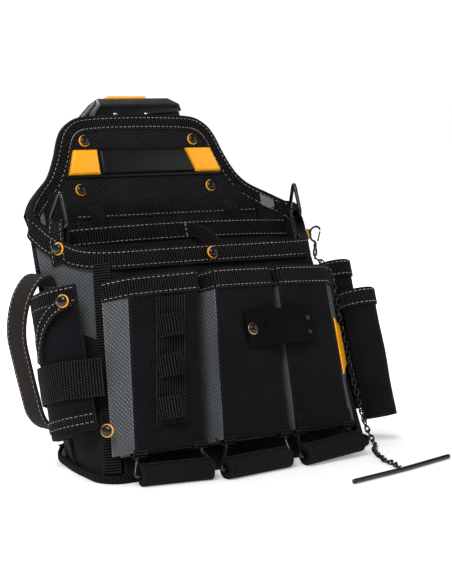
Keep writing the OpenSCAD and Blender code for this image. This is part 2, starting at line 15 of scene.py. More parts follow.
import bpy
import numpy as np
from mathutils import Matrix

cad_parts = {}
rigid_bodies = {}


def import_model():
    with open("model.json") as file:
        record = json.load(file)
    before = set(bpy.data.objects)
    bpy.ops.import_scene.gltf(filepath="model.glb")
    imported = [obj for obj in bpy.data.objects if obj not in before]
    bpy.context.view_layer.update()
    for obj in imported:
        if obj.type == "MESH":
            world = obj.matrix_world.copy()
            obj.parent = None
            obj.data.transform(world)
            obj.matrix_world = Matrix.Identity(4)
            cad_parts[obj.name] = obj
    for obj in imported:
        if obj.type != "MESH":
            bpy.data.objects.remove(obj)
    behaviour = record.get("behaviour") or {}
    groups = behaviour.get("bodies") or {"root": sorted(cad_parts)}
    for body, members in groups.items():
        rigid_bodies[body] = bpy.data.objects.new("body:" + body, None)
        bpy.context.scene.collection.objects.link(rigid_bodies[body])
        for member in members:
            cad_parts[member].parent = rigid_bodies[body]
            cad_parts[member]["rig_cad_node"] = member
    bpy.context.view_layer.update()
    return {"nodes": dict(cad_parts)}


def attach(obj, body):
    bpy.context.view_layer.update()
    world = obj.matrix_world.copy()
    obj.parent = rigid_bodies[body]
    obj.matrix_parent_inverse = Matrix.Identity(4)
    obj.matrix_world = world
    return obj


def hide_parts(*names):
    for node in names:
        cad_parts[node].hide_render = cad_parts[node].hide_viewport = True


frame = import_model()
LOG = logging.getLogger("pouch")

MM = 0.001
THREAD = 0.62
HEM_PLY = 1.3
LEAN = math.radians(19.0)
SHIFT = np.array([0.85, 0.1, 0.0])
UP = (0.0, 0.0, 1.0)
FRONT = (0.0, -1.0, 0.0)
Point = Sequence[float]
Cells = tuple[int, int]
Object = bpy.types.Object


# ---- places ----


def turned(points: Sequence[Point]) -> np.ndarray:
    """Turns body axes into frame axes.

    Args:
        points: points or directions in body axes.

    Returns:
        The same, leaned back, one row each.
    """
    x, y, z = np.atleast_2d(np.asarray(points, float)).T
    cos, sin = math.cos(LEAN), math.sin(LEAN)
    return np.stack([x, y * cos + z * sin, z * cos - y * sin], axis=1)


RISE = turned([UP])[0]


def floor(points: Sequence[Point]) -> np.ndarray:
    """Millimetres measured from the floor, as metres in the frame."""
    return (np.atleast_2d(np.asarray(points, float)) + SHIFT) * MM


def body(points: Sequence[Point]) -> np.ndarray:
    """Millimetres in body axes, as metres in the frame."""
    return floor(turned(points))


def stood(points: Sequence[Point]) -> list[Point]:
    """Points measured from the floor, seen in body axes."""
    cos, sin = math.cos(LEAN), math.sin(LEAN)
    return [(x, y * cos - z * sin, y * sin + z * cos) for x, y, z in points]


def flipped(points: Sequence[Point]) -> list[Point]:
    """The same points on the other side of the pouch, in reverse order."""
    return [(-p[0], *p[1:]) for p in reversed(list(points))]


def mixed(a: Point, b: Point, t: float) -> np.ndarray:
    """The point part of the way from a to b."""
    return np.asarray(a, float) * (1 - t) + np.asarray(b, float) * t


def unit(v: np.ndarray) -> np.ndarray:
    """Directions made one long."""
    return v / np.maximum(np.linalg.norm(v, axis=-1, keepdims=True), 1e-12)


# ---- lines and surfaces ----


def cubic(a: np.ndarray, b: np.ndarray, leave: np.ndarray, arrive: np.ndarray, t: np.ndarray) -> np.ndarray:
    """A cubic from a to b that leaves and arrives with the given slopes."""
    cube, square = t**3, t**2
    ends = a * (2 * cube - 3 * square + 1) + b * (3 * square - 2 * cube)
    return ends + leave * (cube - 2 * square + t) + arrive * (cube - square)


def curved(points: np.ndarray, closed: bool, steps: int = 12) -> np.ndarray:
    """Draws a smooth line through points.

    Args:
        points: the points, the first one repeated last if closed.
        closed: whether the line runs back into itself.
        steps: how many points each stretch gets.

    Returns:
        The dense line.
    """
    gaps = np.maximum(np.linalg.norm(np.diff(points, axis=0), axis=1), 1e-9) ** 0.5
    slopes = np.diff(points, axis=0) / gaps[:, None]
    middle = (slopes[:-1] * gaps[1:, None] + slopes[1:] * gaps[:-1, None]) / (gaps[:-1] + gaps[1:])[:, None]
    if closed:
        ends = (slopes[-1] * gaps[0] + slopes[0] * gaps[-1]) / (gaps[0] + gaps[-1])
        runs = np.vstack([ends, middle, ends])
    else:
        runs = np.vstack([slopes[0], middle, slopes[-1]])
    t = np.linspace(0, 1, steps, endpoint=False)[:, None]
    stretches = zip(points[:-1], points[1:], gaps, runs[:-1], runs[1:])
    lines = [cubic(a, b, h * m, h * n, t) for a, b, h, m, n in stretches]
    return np.vstack([*lines, points[-1:]])


def cornered(points: np.ndarray, radius: float, closed: bool) -> np.ndarray:
    """Rounds the corners between straight runs.

    Args:
        points: the corners, the first one repeated last if closed.
        radius: how far from each corner the rounding starts.
        closed: whether the first corner is rounded too.

    Returns:
        The line with its corners rounded.
    """
    line = []
    count = len(points)
    for i, p in enumerate(points):
        if not closed and i in (0, count - 1):
            line.append(p)
            continue
        before = points[i - 1] if i else points[-2]
        after = points[i + 1] if i < count - 1 else points[1]
        reach = min(radius, 0.45 * np.linalg.norm(before - p), 0.45 * np.linalg.norm(after - p))
        a, b = p + unit(before - p) * reach, p + unit(after - p) * reach
        line += [a * (1 - t) ** 2 + p * 2 * t * (1 - t) + b * t * t for t in (0, 0.25, 0.5, 0.75, 1)]
    return np.array(line)


class Route:
    """A line that can be followed by its length."""

    def __init__(self, points: Sequence[Point], corner: float | None = None, closed: bool = False) -> None:
        """Lays the line.

        Args:
            points: the points it goes through.
            corner: the radius of its corners, or None for one smooth curve.
            closed: whether it runs back into its start.
        """
        p = np.asarray(points, float)
        if closed:
            p = np.vstack([p, p[:1]])
        if len(p) == 2:
            self.points = p
        elif corner is None:
            self.points = curved(p, closed)
        else:
            self.points = cornered(p, corner, closed)
        steps = np.linalg.norm(np.diff(self.points, axis=0), axis=1)
        self.marks = np.concatenate([[0.0], np.cumsum(steps)])
        self.length = float(self.marks[-1])
        self.closed = closed

    def at(self, s: np.ndarray) -> np.ndarray:
        """The points at shares s of the length."""
        s = np.mod(s, 1.0) if self.closed else np.clip(s, 0, 1)
        return np.stack([np.interp(s * self.length, self.marks, axis) for axis in self.points.T], axis=1)

    def along(self, s: np.ndarray, reach: float = 0.006) -> np.ndarray:
        """The directions of travel at shares s of the length."""
        return unit(self.at(s + reach) - self.at(s - reach))


class Surface:
    """A sheet with a point for every s along it and t up it, facing outwards."""

    height = 1.0

    def at(self, s: np.ndarray, t: np.ndarray) -> np.ndarray:
        """The points at s, t."""
        raise NotImplementedError

    def span(self, t: np.ndarray) -> np.ndarray:
        """The sheet's width at t."""
        raise NotImplementedError

    def facing(self, s: np.ndarray, t: np.ndarray, reach: float = 0.004) -> np.ndarray:
        """The outward directions at s, t."""
        low_s, high_s = np.clip(s - reach, 0, 1), np.clip(s + reach, 0, 1)
        low_t, high_t = np.clip(t - reach, 0, 1), np.clip(t + reach, 0, 1)
        along = self.at(high_s, t) - self.at(low_s, t)
        return unit(np.cross(along, self.at(s, high_t) - self.at(s, low_t)))

    def lifted(self, s: np.ndarray, t: np.ndarray, height: float) -> np.ndarray:
        """The points at s, t, lifted off the sheet by a height in millimetres."""
        return self.at(s, t) + self.facing(s, t) * height * MM


def ripples(points: np.ndarray, scale: float, seed: int) -> np.ndarray:
    """Gentle waves in space, for cloth that isn't flat.

    Args:
        points: where they are wanted.
        scale: the distance between waves in metres.
        seed: which set of waves.

    Returns:
        Heights from about -1 to 1.
    """
    draw = np.random.default_rng(seed)
    total = np.zeros(len(points))
    for _ in range(6):
        wave = draw.normal(size=3) * 2.2 / scale
        total += np.sin(points @ wave + draw.uniform(0, 2 * math.pi))
    return total / 3


class Loft(Surface):
    """A sheet through rows of points, laid bottom to top, each left to right seen from outside."""

    def __init__(
        self,
        rows: Sequence[np.ndarray],
        swell: float = 0.0,
        ripple: float = 0.0,
        corner: float | None = None,
        seed: int = 1,
        scale: float = 0.06,
    ) -> None:
        """Lays the rows.

        Args:
            rows: the rows of points, in metres.
            swell: how far its middle stands out, in millimetres.
            ripple: how far it waves in and out, in millimetres.
            corner: the radius of the rows' corners in metres, or None for smooth rows.
            seed: which set of waves it has.
            scale: the distance between waves in metres.
        """
        self.rows = [Route(r, corner) for r in rows]
        ends = np.array([r.at(np.array([0.1, 0.5, 0.9])) for r in self.rows])
        gaps = np.linalg.norm(np.diff(ends, axis=0), axis=2).mean(axis=1)
        self.marks = np.concatenate([[0], np.cumsum(gaps)])
        self.height = float(self.marks[-1])
        self.swell, self.ripple, self.seed, self.scale = swell, ripple, seed, scale

    def span(self, t: np.ndarray) -> np.ndarray:
        """The sheet's width at t."""
        return np.interp(np.clip(t, 0, 1) * self.height, self.marks, [r.length for r in self.rows])

    def plain(self, s: np.ndarray, t: np.ndarray) -> np.ndarray:
        """The points at s, t before the sheet swells."""
        stack = np.array([r.at(s) for r in self.rows])
        place = np.interp(np.clip(t, 0, 1) * self.height, self.marks, np.arange(len(self.rows)))
        low = np.clip(place.astype(int), 0, len(self.rows) - 2)
        f = (place - low)[:, None]
        each = np.arange(len(s))
        a, b = stack[low, each], stack[low + 1, each]
        if len(self.rows) == 2:
            return a * (1 - f) + b * f
        before = stack[np.maximum(low - 1, 0), each]
        after = stack[np.minimum(low + 2, len(stack) - 1), each]
        return cubic(a, b, (b - before) / 2, (after - a) / 2, f)

    def at(self, s: np.ndarray, t: np.ndarray) -> np.ndarray:
        """The points at s, t."""
        p = self.plain(s, t)
        if not self.swell and not self.ripple:
            return p
        reach = 0.01
        along = self.plain(np.clip(s + reach, 0, 1), t) - self.plain(np.clip(s - reach, 0, 1), t)
        rise = self.plain(s, np.clip(t + reach, 0, 1)) - self.plain(s, np.clip(t - reach, 0, 1))
        inside = np.clip(16 * s * (1 - s) * t * (1 - t), 0, 1)
        height = self.swell * inside**0.7 + self.ripple * ripples(p, self.scale, self.seed) * inside**0.4
        return p + unit(np.cross(along, rise)) * height[:, None] * MM


class Band(Surface):
    """A strap: a section drawn outwards and upwards, carried along a route."""

    def __init__(
        self,
        route: Route,
        section: Sequence[tuple[float, float]],
        up: Point | None = None,
        face: Sequence[Point] | None = None,
        corner: float | None = 0.8,
    ) -> None:
        """Lays the strap.

        Args:
            route: its line, in metres, running left to right seen from outside.
            section: points (outwards, upwards) in millimetres.
            up: the direction of its height, or None to work it out from face.
            face: outward directions spread evenly along the route.
            corner: the radius of the section's corners in millimetres, or None for a smooth section.
        """
        self.route = route
        self.section = Route([(a, b, 0.0) for a, b in section], corner)
        self.height = self.section.length * MM
        self.up = None if up is None else np.asarray(up, float)
        self.face = None if face is None else np.asarray(face, float)

    def span(self, t: np.ndarray) -> np.ndarray:
        """The strap's length."""
        return np.full(len(t), self.route.length)

    def at(self, s: np.ndarray, t: np.ndarray) -> np.ndarray:
        """The points at s, t."""
        along = self.route.along(s)
        if self.up is not None:
            out = unit(np.cross(along, self.up))
            rise = np.cross(out, along)
        else:
            marks = np.linspace(0, 1, len(self.face))
            face = np.stack([np.interp(s, marks, axis) for axis in self.face.T], axis=1)
            rise = unit(np.cross(face, along))
            out = np.cross(along, rise)
        across = self.section.at(t) * MM
        return self.route.at(s) + out * across[:, :1] + rise * across[:, 1:2]

    def height_at(self, out: float, rise: float) -> float:
        """The t at which the section passes nearest to a point of its drawing."""
        t = np.linspace(0, 1, 400)
        return float(t[np.argmin(np.linalg.norm(self.section.at(t)[:, :2] - (out, rise), axis=1))])


class Pipe(Band):
    """A round wire along a route, s along it and t round it."""

    def __init__(self, route: Route, diameter: float, up: Point = UP) -> None:
        """Lays the wire.

        Args:
            route: its line in metres.
            diameter: in millimetres.
            up: any direction that the route doesn't take.
        """
        radius = diameter / 2
        turn = np.linspace(0, -2 * math.pi, 25)
        super().__init__(route, [(math.cos(a) * radius, math.sin(a) * radius) for a in turn], up)


class Rings(Surface):
    """A solid's skin through closed rings of corners, s round them and t from ring to ring."""

    def __init__(self, rings: Sequence[np.ndarray]) -> None:
        """Keeps the rings, which run anticlockwise seen from the first one's far side."""
        self.rings = np.array([np.vstack([r, r[:1]]) for r in rings])

    def span(self, t: np.ndarray) -> np.ndarray:
        """One, because a solid's pattern doesn't follow its skin."""
        return np.ones(len(t))

    def at(self, s: np.ndarray, t: np.ndarray) -> np.ndarray:
        """The points at s, t, where s counts corners and t counts rings."""
        count, corners = len(self.rings) - 1, self.rings.shape[1] - 1
        i = np.clip(np.rint(t * count).astype(int), 0, count)
        k = np.clip(np.rint(s * corners).astype(int), 0, corners)
        return self.rings[i, k]


class Lifted(Surface):
    """A piece of one sheet that lies a little above it."""

    def __init__(self, base: Surface, s: tuple[float, float], t: tuple[float, float], lift: float) -> None:
        """Cuts the piece.

        Args:
            base: the sheet below.
            s: its limits along the sheet.
            t: its limits up the sheet.
            lift: how far it lies above, in millimetres.
        """
        self.base, self.s, self.t, self.lift = base, s, t, lift
        self.height = base.height * abs(t[1] - t[0])

    def span(self, t: np.ndarray) -> np.ndarray:
        """The piece's width at t."""
        return self.base.span(self.t[0] + (self.t[1] - self.t[0]) * t) * abs(self.s[1] - self.s[0])

    def at(self, s: np.ndarray, t: np.ndarray) -> np.ndarray:
        """The points at s, t."""
        across, up = (low + (high - low) * share for (low, high), share in ((self.s, s), (self.t, t)))
        return self.base.lifted(across, up, self.lift)


def fold(low: float, high: float, wall: float, ply: float) -> list[tuple[float, float]]:
    """The section of webbing folded over a wall's edge.

    Args:
        low: where its legs end.
        high: where it turns over the edge.
        wall: the thickness of what it covers, which lies behind the route.
        ply: the thickness of the webbing.

    Returns:
        The section's outer line, from the front leg's foot to the back leg's.
    """
    back, turn, drop = -wall - ply, 0.9, 1.4
    front_leg = [(ply, low), (ply, high - drop), (ply - turn, high)]
    return [*front_leg, (back + turn, high), (back, high - drop), (back, low)]


# ---- the bench: meshes made with Blender's own tools ----


def only(obj: Object) -> Object:
    """Selects one piece and makes it active."""
    bpy.ops.object.select_all(action="DESELECT")
    obj.select_set(True)
    bpy.context.view_layer.objects.active = obj
    return obj


def edited(obj: Object, *steps: tuple) -> None:
    """Runs mesh operators on the whole of a piece in edit mode.

    Args:
        obj: the piece.
        steps: (operator, keyword arguments) pairs.
    """
    only(obj)
    bpy.ops.object.mode_set(mode="EDIT")
    for operator, options in steps:
        bpy.ops.mesh.select_all(action="SELECT")
        operator(**options)
    bpy.ops.object.mode_set(mode="OBJECT")


def apply(obj: Object, kind: str, **settings: object) -> Object:
    """Adds a modifier with its settings and applies it."""
    modifier = only(obj).modifiers.new(kind.title(), kind)
    for name, value in settings.items():
        setattr(modifier, name, value)
    bpy.ops.object.modifier_apply(modifier=modifier.name)
    return obj


def bevelled(obj: Object, width: float, segments: int, angle: float) -> Object:
    """Rounds a piece's edges that are sharper than an angle in degrees, by a width in millimetres."""
    limit = math.radians(angle)
    return apply(obj, "BEVEL", width=width * MM, segments=segments, limit_method="ANGLE", angle_limit=limit)


def smooth(obj: Object, angle: float = 40.0) -> Object:
    """Shades a piece smooth up to an angle in degrees."""
    only(obj)
    bpy.ops.object.shade_smooth_by_angle(angle=math.radians(angle))
    return obj


def spread(name: str, surface: Surface, cells: Cells) -> Object:
    """Lays a grid over a surface.

    Args:
        name: the piece's name.
        surface: what it lies on.
        cells: how many cells it has along and up.

    Returns:
        The piece, with a UV map in metres and its distance from the edge as an attribute.
    """
    bpy.ops.object.select_all(action="DESELECT")
    bpy.ops.mesh.primitive_grid_add(x_subdivisions=cells[0], y_subdivisions=cells[1], size=1)
    obj = bpy.context.object
    obj.name = obj.data.name = name
    mesh = obj.data
    flat = np.zeros(len(mesh.vertices) * 3, np.float32)
    mesh.vertices.foreach_get("co", flat)
    s, t = np.clip(flat.reshape(-1, 3)[:, :2].T.astype(float) + 0.5, 0, 1)
    mesh.vertices.foreach_set("co", surface.at(s, t).astype(np.float32).ravel())
    span = surface.span(t)
    corner = np.zeros(len(mesh.loops), np.int32)
    mesh.loops.foreach_get("vertex_index", corner)
    uv = np.stack([(s - 0.5) * span, t * surface.height], axis=1)[corner]
    mesh.uv_layers.active.data.foreach_set("uv", uv.astype(np.float32).ravel())
    edge = np.minimum(np.minimum(s, 1 - s) * span, np.minimum(t, 1 - t) * surface.height)
    mesh.attributes.new("edge", "FLOAT", "POINT").data.foreach_set("value", edge.astype(np.float32))
    return obj


def cloth(name: str, surface: Surface, cells: Cells, thick: float, round_edge: float = 0.0) -> Object:
    """Cuts a sheet of cloth or webbing.

    Args:
        name: the piece's name.
        surface: its outer face.
        cells: how many cells it has along and up.
        thick: its thickness in millimetres, which goes inwards.
        round_edge: how far its edges are rounded, in millimetres.

    Returns:
        The piece.
    """
    obj = spread(name, surface, cells)
    apply(obj, "SOLIDIFY", thickness=thick * MM, offset=-1.0, use_even_offset=False)
    if round_edge:
        bevelled(obj, round_edge, 2, 55)
    return smooth(obj)


def wire(name: str, route: Route, diameter: float, cells: Cells, up: Point = UP) -> Object:
    """Bends a round wire with rounded ends.

    Args:
        name: the piece's name.
        route: its line in metres.
        diameter: in millimetres.
        cells: how many cells it has along and round.
        up: any direction that the route doesn't take.

    Returns:
        The piece.
    """
    obj = spread(name, Pipe(route, diameter, up), cells)
    edited(obj, (bpy.ops.mesh.remove_doubles, {"threshold": 1e-5}))
    if not route.closed:
        edited(obj, (bpy.ops.mesh.fill_holes, {"sides": 0}))
        bevelled(obj, 0.42 * diameter, 4, 60)
    edited(obj, (bpy.ops.mesh.normals_make_consistent, {"inside": False}))
    return smooth(obj, 60)


def solid(name: str, rings: Sequence[np.ndarray], bevel: float = 0.0, segments: int = 3) -> Object:
    """Makes a hard piece from rings of corners.

    Args:
        name: the piece's name.
        rings: closed rings with the same number of corners, in metres.
        bevel: how far its edges are rounded, in millimetres.
        segments: how many steps that takes.

    Returns:
        The piece.
    """
    obj = spread(name, Rings(rings), (len(rings[0]), len(rings) - 1))
    edited(
        obj,
        (bpy.ops.mesh.remove_doubles, {"threshold": 1e-6}),
        (bpy.ops.mesh.fill_holes, {"sides": 0}),
        (bpy.ops.mesh.normals_make_consistent, {"inside": False}),
    )
    if bevel:
        bevelled(obj, bevel, segments, 20)
    return smooth(obj, 35)


def lathe(name: str, profile: Sequence[tuple[float, float]], corners: int = 24) -> Object:
    """Turns a profile of (radius, height) in millimetres round Z."""
    angle = np.linspace(0, 2 * math.pi, corners, endpoint=False)
    around, level = np.stack([np.cos(angle), np.sin(angle)], axis=1), np.ones((corners, 1))
    return solid(name, [np.hstack([around * r, level * h]) * MM for r, h in profile])


def joined(name: str, pieces: Sequence[Object]) -> Object:
    """Joins pieces into the first one."""
    only(pieces[0])
    for p in pieces[1:]:
        p.select_set(True)
    bpy.ops.object.join()
    obj = bpy.context.object
    obj.name = obj.data.name = name
    return obj


def stamped(name: str, template: Object, places: Sequence[np.ndarray]) -> Object:
    """Copies a modelled piece to many places, in one mesh.

    Args:
        name: the new piece's name.
        template: the modelled piece, drawn round the origin.
        places: 4x4 matrices, one for each copy.

    Returns:
        The copies as one piece.
    """
    co = np.zeros(len(template.data.vertices) * 3)
    template.data.vertices.foreach_get("co", co)
    co = co.reshape(-1, 3)
    faces = [np.array(p.vertices) for p in template.data.polygons]
    stack = np.concatenate([co @ m[:3, :3].T + m[:3, 3] for m in places])
    mesh = bpy.data.meshes.new(name)
    all_faces = [(f + k * len(co)).tolist() for k in range(len(places)) for f in faces]
    mesh.from_pydata(stack.tolist(), [], all_faces)
    obj = bpy.data.objects.new(name, mesh)
    bpy.context.scene.collection.objects.link(obj)
    bpy.data.objects.remove(template)
    return smooth(obj, 60)


def standing_on(points: np.ndarray, along: np.ndarray, out: np.ndarray) -> list[np.ndarray]:
    """Matrices that put a template's X along a line and its Z out of a surface."""
    x = unit(along)
    y = unit(np.cross(out, x))
    z = np.cross(x, y)
    places = np.tile(np.eye(4), (len(points), 1, 1))
    places[:, :3, 0], places[:, :3, 1], places[:, :3, 2], places[:, :3, 3] = x, y, z, points
    return list(places)


@dataclass(frozen=True)
class Seam:
    """One row of stitches on a surface, from one (s, t) to another."""

    surface: Surface
    start: tuple[float, float]
    end: tuple[float, float]
    lift: float = 0.12


def straight(surface: Band | Loft, *heights: float, margin: float = 0.006) -> list[Seam]:
    """Rows of stitches along a strap at some heights t."""
    return [Seam(surface, (margin, t), (1 - margin, t)) for t in heights]


def stitched(name: str, seams: Sequence[Seam], pitch: float = 5.0, long: float = 3.5) -> Object:
    """Sews rows of lock stitches.

    Args:
        name: the piece's name.
        seams: the rows.
        pitch: the distance from stitch to stitch in millimetres.
        long: the length of one stitch.

    Returns:
        All the stitches as one piece.
    """
    bpy.ops.object.select_all(action="DESELECT")
    bpy.ops.mesh.primitive_uv_sphere_add(segments=6, ring_count=5, radius=0.5)
    stitch = bpy.context.object
    bpy.ops.transform.rotate(value=math.pi / 2, orient_axis="Y", center_override=(0, 0, 0))
    bpy.ops.transform.resize(value=(long * MM, THREAD * MM, THREAD * 0.7 * MM))
    bpy.ops.object.transform_apply()
    places = []
    draw = np.random.default_rng(len(seams))
    for seam in seams:
        fine = np.linspace(0, 1, 60)
        s, t = (seam.start[k] + (seam.end[k] - seam.start[k]) * fine for k in (0, 1))
        line = Route(seam.surface.lifted(s, t, seam.lift), 0.0)
        count = max(2, round(line.length / (pitch * MM)))
        share = (np.arange(count) + 0.5) / count
        s, t = (seam.start[k] + (seam.end[k] - seam.start[k]) * share for k in (0, 1))
        points = seam.surface.lifted(s, t, seam.lift)
        out = seam.surface.facing(s, t)
        along = unit(line.along(share)) + draw.normal(size=(count, 3)) * 0.05
        places += standing_on(points, along, out)
    return stamped(name, stitch, places)


# ---- finishes ----


class Pattern(Enum):
    """How a cloth is woven."""

    TWILL = "diagonal ridges broken into dashes"
    BASKET = "small pillows over and under"
    RIB = "ribs across the strap"
    CHEVRON = "ridges that turn to and fro"


class Nodes:
    """A material's nodes, built one sum at a time."""

    def __init__(self, name: str) -> None:
        """Starts a material with its shader."""
        self.material = bpy.data.materials.new(name)
        self.material.use_nodes = True
        self.tree = self.material.node_tree
        self.shader = self.tree.nodes["Principled BSDF"]

    def add(self, kind: str, inputs: dict, **settings: object) -> bpy.types.Node:
        """Adds a node.

        Args:
            kind: the node's type.
            inputs: values or sockets for its inputs, by name or number.
            settings: its own settings.

        Returns:
            The node.
        """
        node = self.tree.nodes.new(kind)
        for name, value in settings.items():
            setattr(node, name, value)
        for key, value in inputs.items():
            if isinstance(value, bpy.types.NodeSocket):
                self.tree.links.new(value, node.inputs[key])
            else:
                node.inputs[key].default_value = value
        return node

    def math(self, operation: str, *values: object) -> bpy.types.NodeSocket:
        """One sum."""
        return self.add("ShaderNodeMath", dict(enumerate(values)), operation=operation).outputs[0]

    def place(self, output: str = "Object") -> bpy.types.NodeSocket:
        """Texture coordinates."""
        return self.add("ShaderNodeTexCoord", {}).outputs[output]

    def noise(self, scale: float, detail: float = 2.0, output: str = "Object") -> bpy.types.NodeSocket:
        """Cloudy noise from 0 to 1."""
        inputs = {"Vector": self.place(output), "Scale": scale, "Detail": detail}
        return self.add("ShaderNodeTexNoise", inputs).outputs["Fac"]

    def blend(self, share: object, a: Point, b: Point) -> bpy.types.NodeSocket:
        """A colour part of the way from a to b."""
        inputs = {"Factor": share, 6: (*a, 1.0), 7: (*b, 1.0)}
        return self.add("ShaderNodeMix", inputs, data_type="RGBA").outputs[2]

    def range(self, value: object, low: float, high: float, *to: float) -> bpy.types.NodeSocket:
        """A value carried from one range to another."""
        inputs = dict(enumerate((value, low, high, *to)))
        return self.add("ShaderNodeMapRange", inputs).outputs[0]

    def shade(self, colour: object, rough: object, height: object = None, depth: float = 0.0) -> None:
        """Feeds the shader its colour, roughness and relief."""
        self.tree.links.new(colour, self.shader.inputs["Base Color"])
        self.tree.links.new(rough, self.shader.inputs["Roughness"])
        if height is not None:
            bump = self.add("ShaderNodeBump", {"Height": height, "Strength": 0.9, "Distance": depth})
            self.tree.links.new(bump.outputs[0], self.shader.inputs["Normal"])

    def settle(self, values: dict[str, float]) -> None:
        """Sets the shader's plain values."""
        for name, value in values.items():
            self.shader.inputs[name].default_value = value


@dataclass(frozen=True)
class Cloth:
    """A woven finish, its pattern laid on the piece's UV map in metres."""

    yarn: Point
    gap: Point
    pattern: Pattern
    pitch: float
    depth: float = 0.35
    rough: float = 0.82
    sheen: float = 0.012

    def weave(self, n: Nodes) -> bpy.types.NodeSocket:
        """The height of the yarns, from 0 to 1."""
        split = n.add("ShaderNodeSeparateXYZ", {0: n.place("UV")})
        turn = 2 * math.pi / (self.pitch * MM)
        u = n.math("MULTIPLY", split.outputs[0], turn)
        v = n.math("MULTIPLY", split.outputs[1], turn)
        if self.pattern is Pattern.TWILL:
            ridge = n.math("MULTIPLY", n.math("SINE", n.math("ADD", u, v)), 0.5)
            dash = n.math("SINE", n.math("SUBTRACT", n.math("MULTIPLY", u, 1.5), v))
            return n.math("MULTIPLY_ADD", n.math("MULTIPLY_ADD", dash, 0.35, 0.65), ridge, 0.5)
        if self.pattern is Pattern.BASKET:
            half_u, half_v = n.math("MULTIPLY", u, 0.5), n.math("MULTIPLY", v, 0.5)
            pillow = n.math("MULTIPLY", n.math("SINE", half_u), n.math("SINE", half_v))
            level = n.math("MULTIPLY", n.math("ABSOLUTE", pillow), 0.65)
            return n.math("MULTIPLY_ADD", pillow, 0.35, level)
        if self.pattern is Pattern.RIB:
            rib = n.math("ABSOLUTE", n.math("SINE", n.math("MULTIPLY", u, 0.5)))
            cross = n.math("SINE", n.math("ADD", v, n.math("MULTIPLY", u, 0.5)))
            return n.math("MULTIPLY", rib, n.math("MULTIPLY_ADD", cross, 0.2, 0.8))
        zigzag = n.math("PINGPONG", u, math.pi * 3)
        ridge = n.math("SINE", n.math("MULTIPLY_ADD", v, 1.0, zigzag))
        return n.math("MULTIPLY_ADD", ridge, 0.5, 0.5)

    def material(self, name: str) -> bpy.types.Material:
        """Makes the finish."""
        n = Nodes(name)
        height = self.weave(n)
        cloud = n.noise(26.0, 3.0)
        fuzz = n.noise(1400.0, 1.0)
        edge = n.add("ShaderNodeAttribute", {}, attribute_name="edge").outputs["Fac"]
        worn = n.range(edge, 0.0, 0.0022, 0.12, 0.0)
        lit = n.math("MULTIPLY", n.math("POWER", height, 3.2), n.range(cloud, 0.3, 0.7, 0.72, 1.05))
        share = n.math("MULTIPLY", n.math("ADD", lit, worn), n.range(fuzz, 0.3, 0.7, 0.7, 1.2))
        n.shade(
            n.blend(share, self.gap, self.yarn),
            n.range(height, 0, 1, min(1, self.rough + 0.12), self.rough - 0.12),
            n.math("MULTIPLY_ADD", fuzz, 0.25, height),
            self.depth * MM,
        )
        n.settle({"Sheen Weight": self.sheen, "Sheen Roughness": 0.45, "Specular IOR Level": 0.03})
        return n.material


@dataclass(frozen=True)
class Hard:
    """A moulded, painted or plated finish."""

    colour: Point
    light: Point
    rough: float
    grain: float = 900.0
    depth: float = 0.03
    metal: float = 0.0
    coat: float = 0.0
    shine: float = 0.4

    def material(self, name: str) -> bpy.types.Material:
        """Makes the finish."""
        n = Nodes(name)
        cloud, grain = n.noise(60.0, 4.0), n.noise(self.grain, 2.0)
        patches, specks = n.range(cloud, 0.35, 0.75, 0.0, 1.0), n.range(grain, 0.35, 0.65, 0.4, 1.0)
        n.shade(
            n.blend(n.math("MULTIPLY", patches, specks), self.colour, self.light),
            n.range(cloud, 0.3, 0.7, self.rough - 0.05, self.rough + 0.08),
            grain,
            self.depth * MM,
        )
        n.settle({"Metallic": self.metal, "Specular IOR Level": self.shine})
        n.settle({"Coat Weight": self.coat, "Coat Roughness": 0.12})
        return n.material


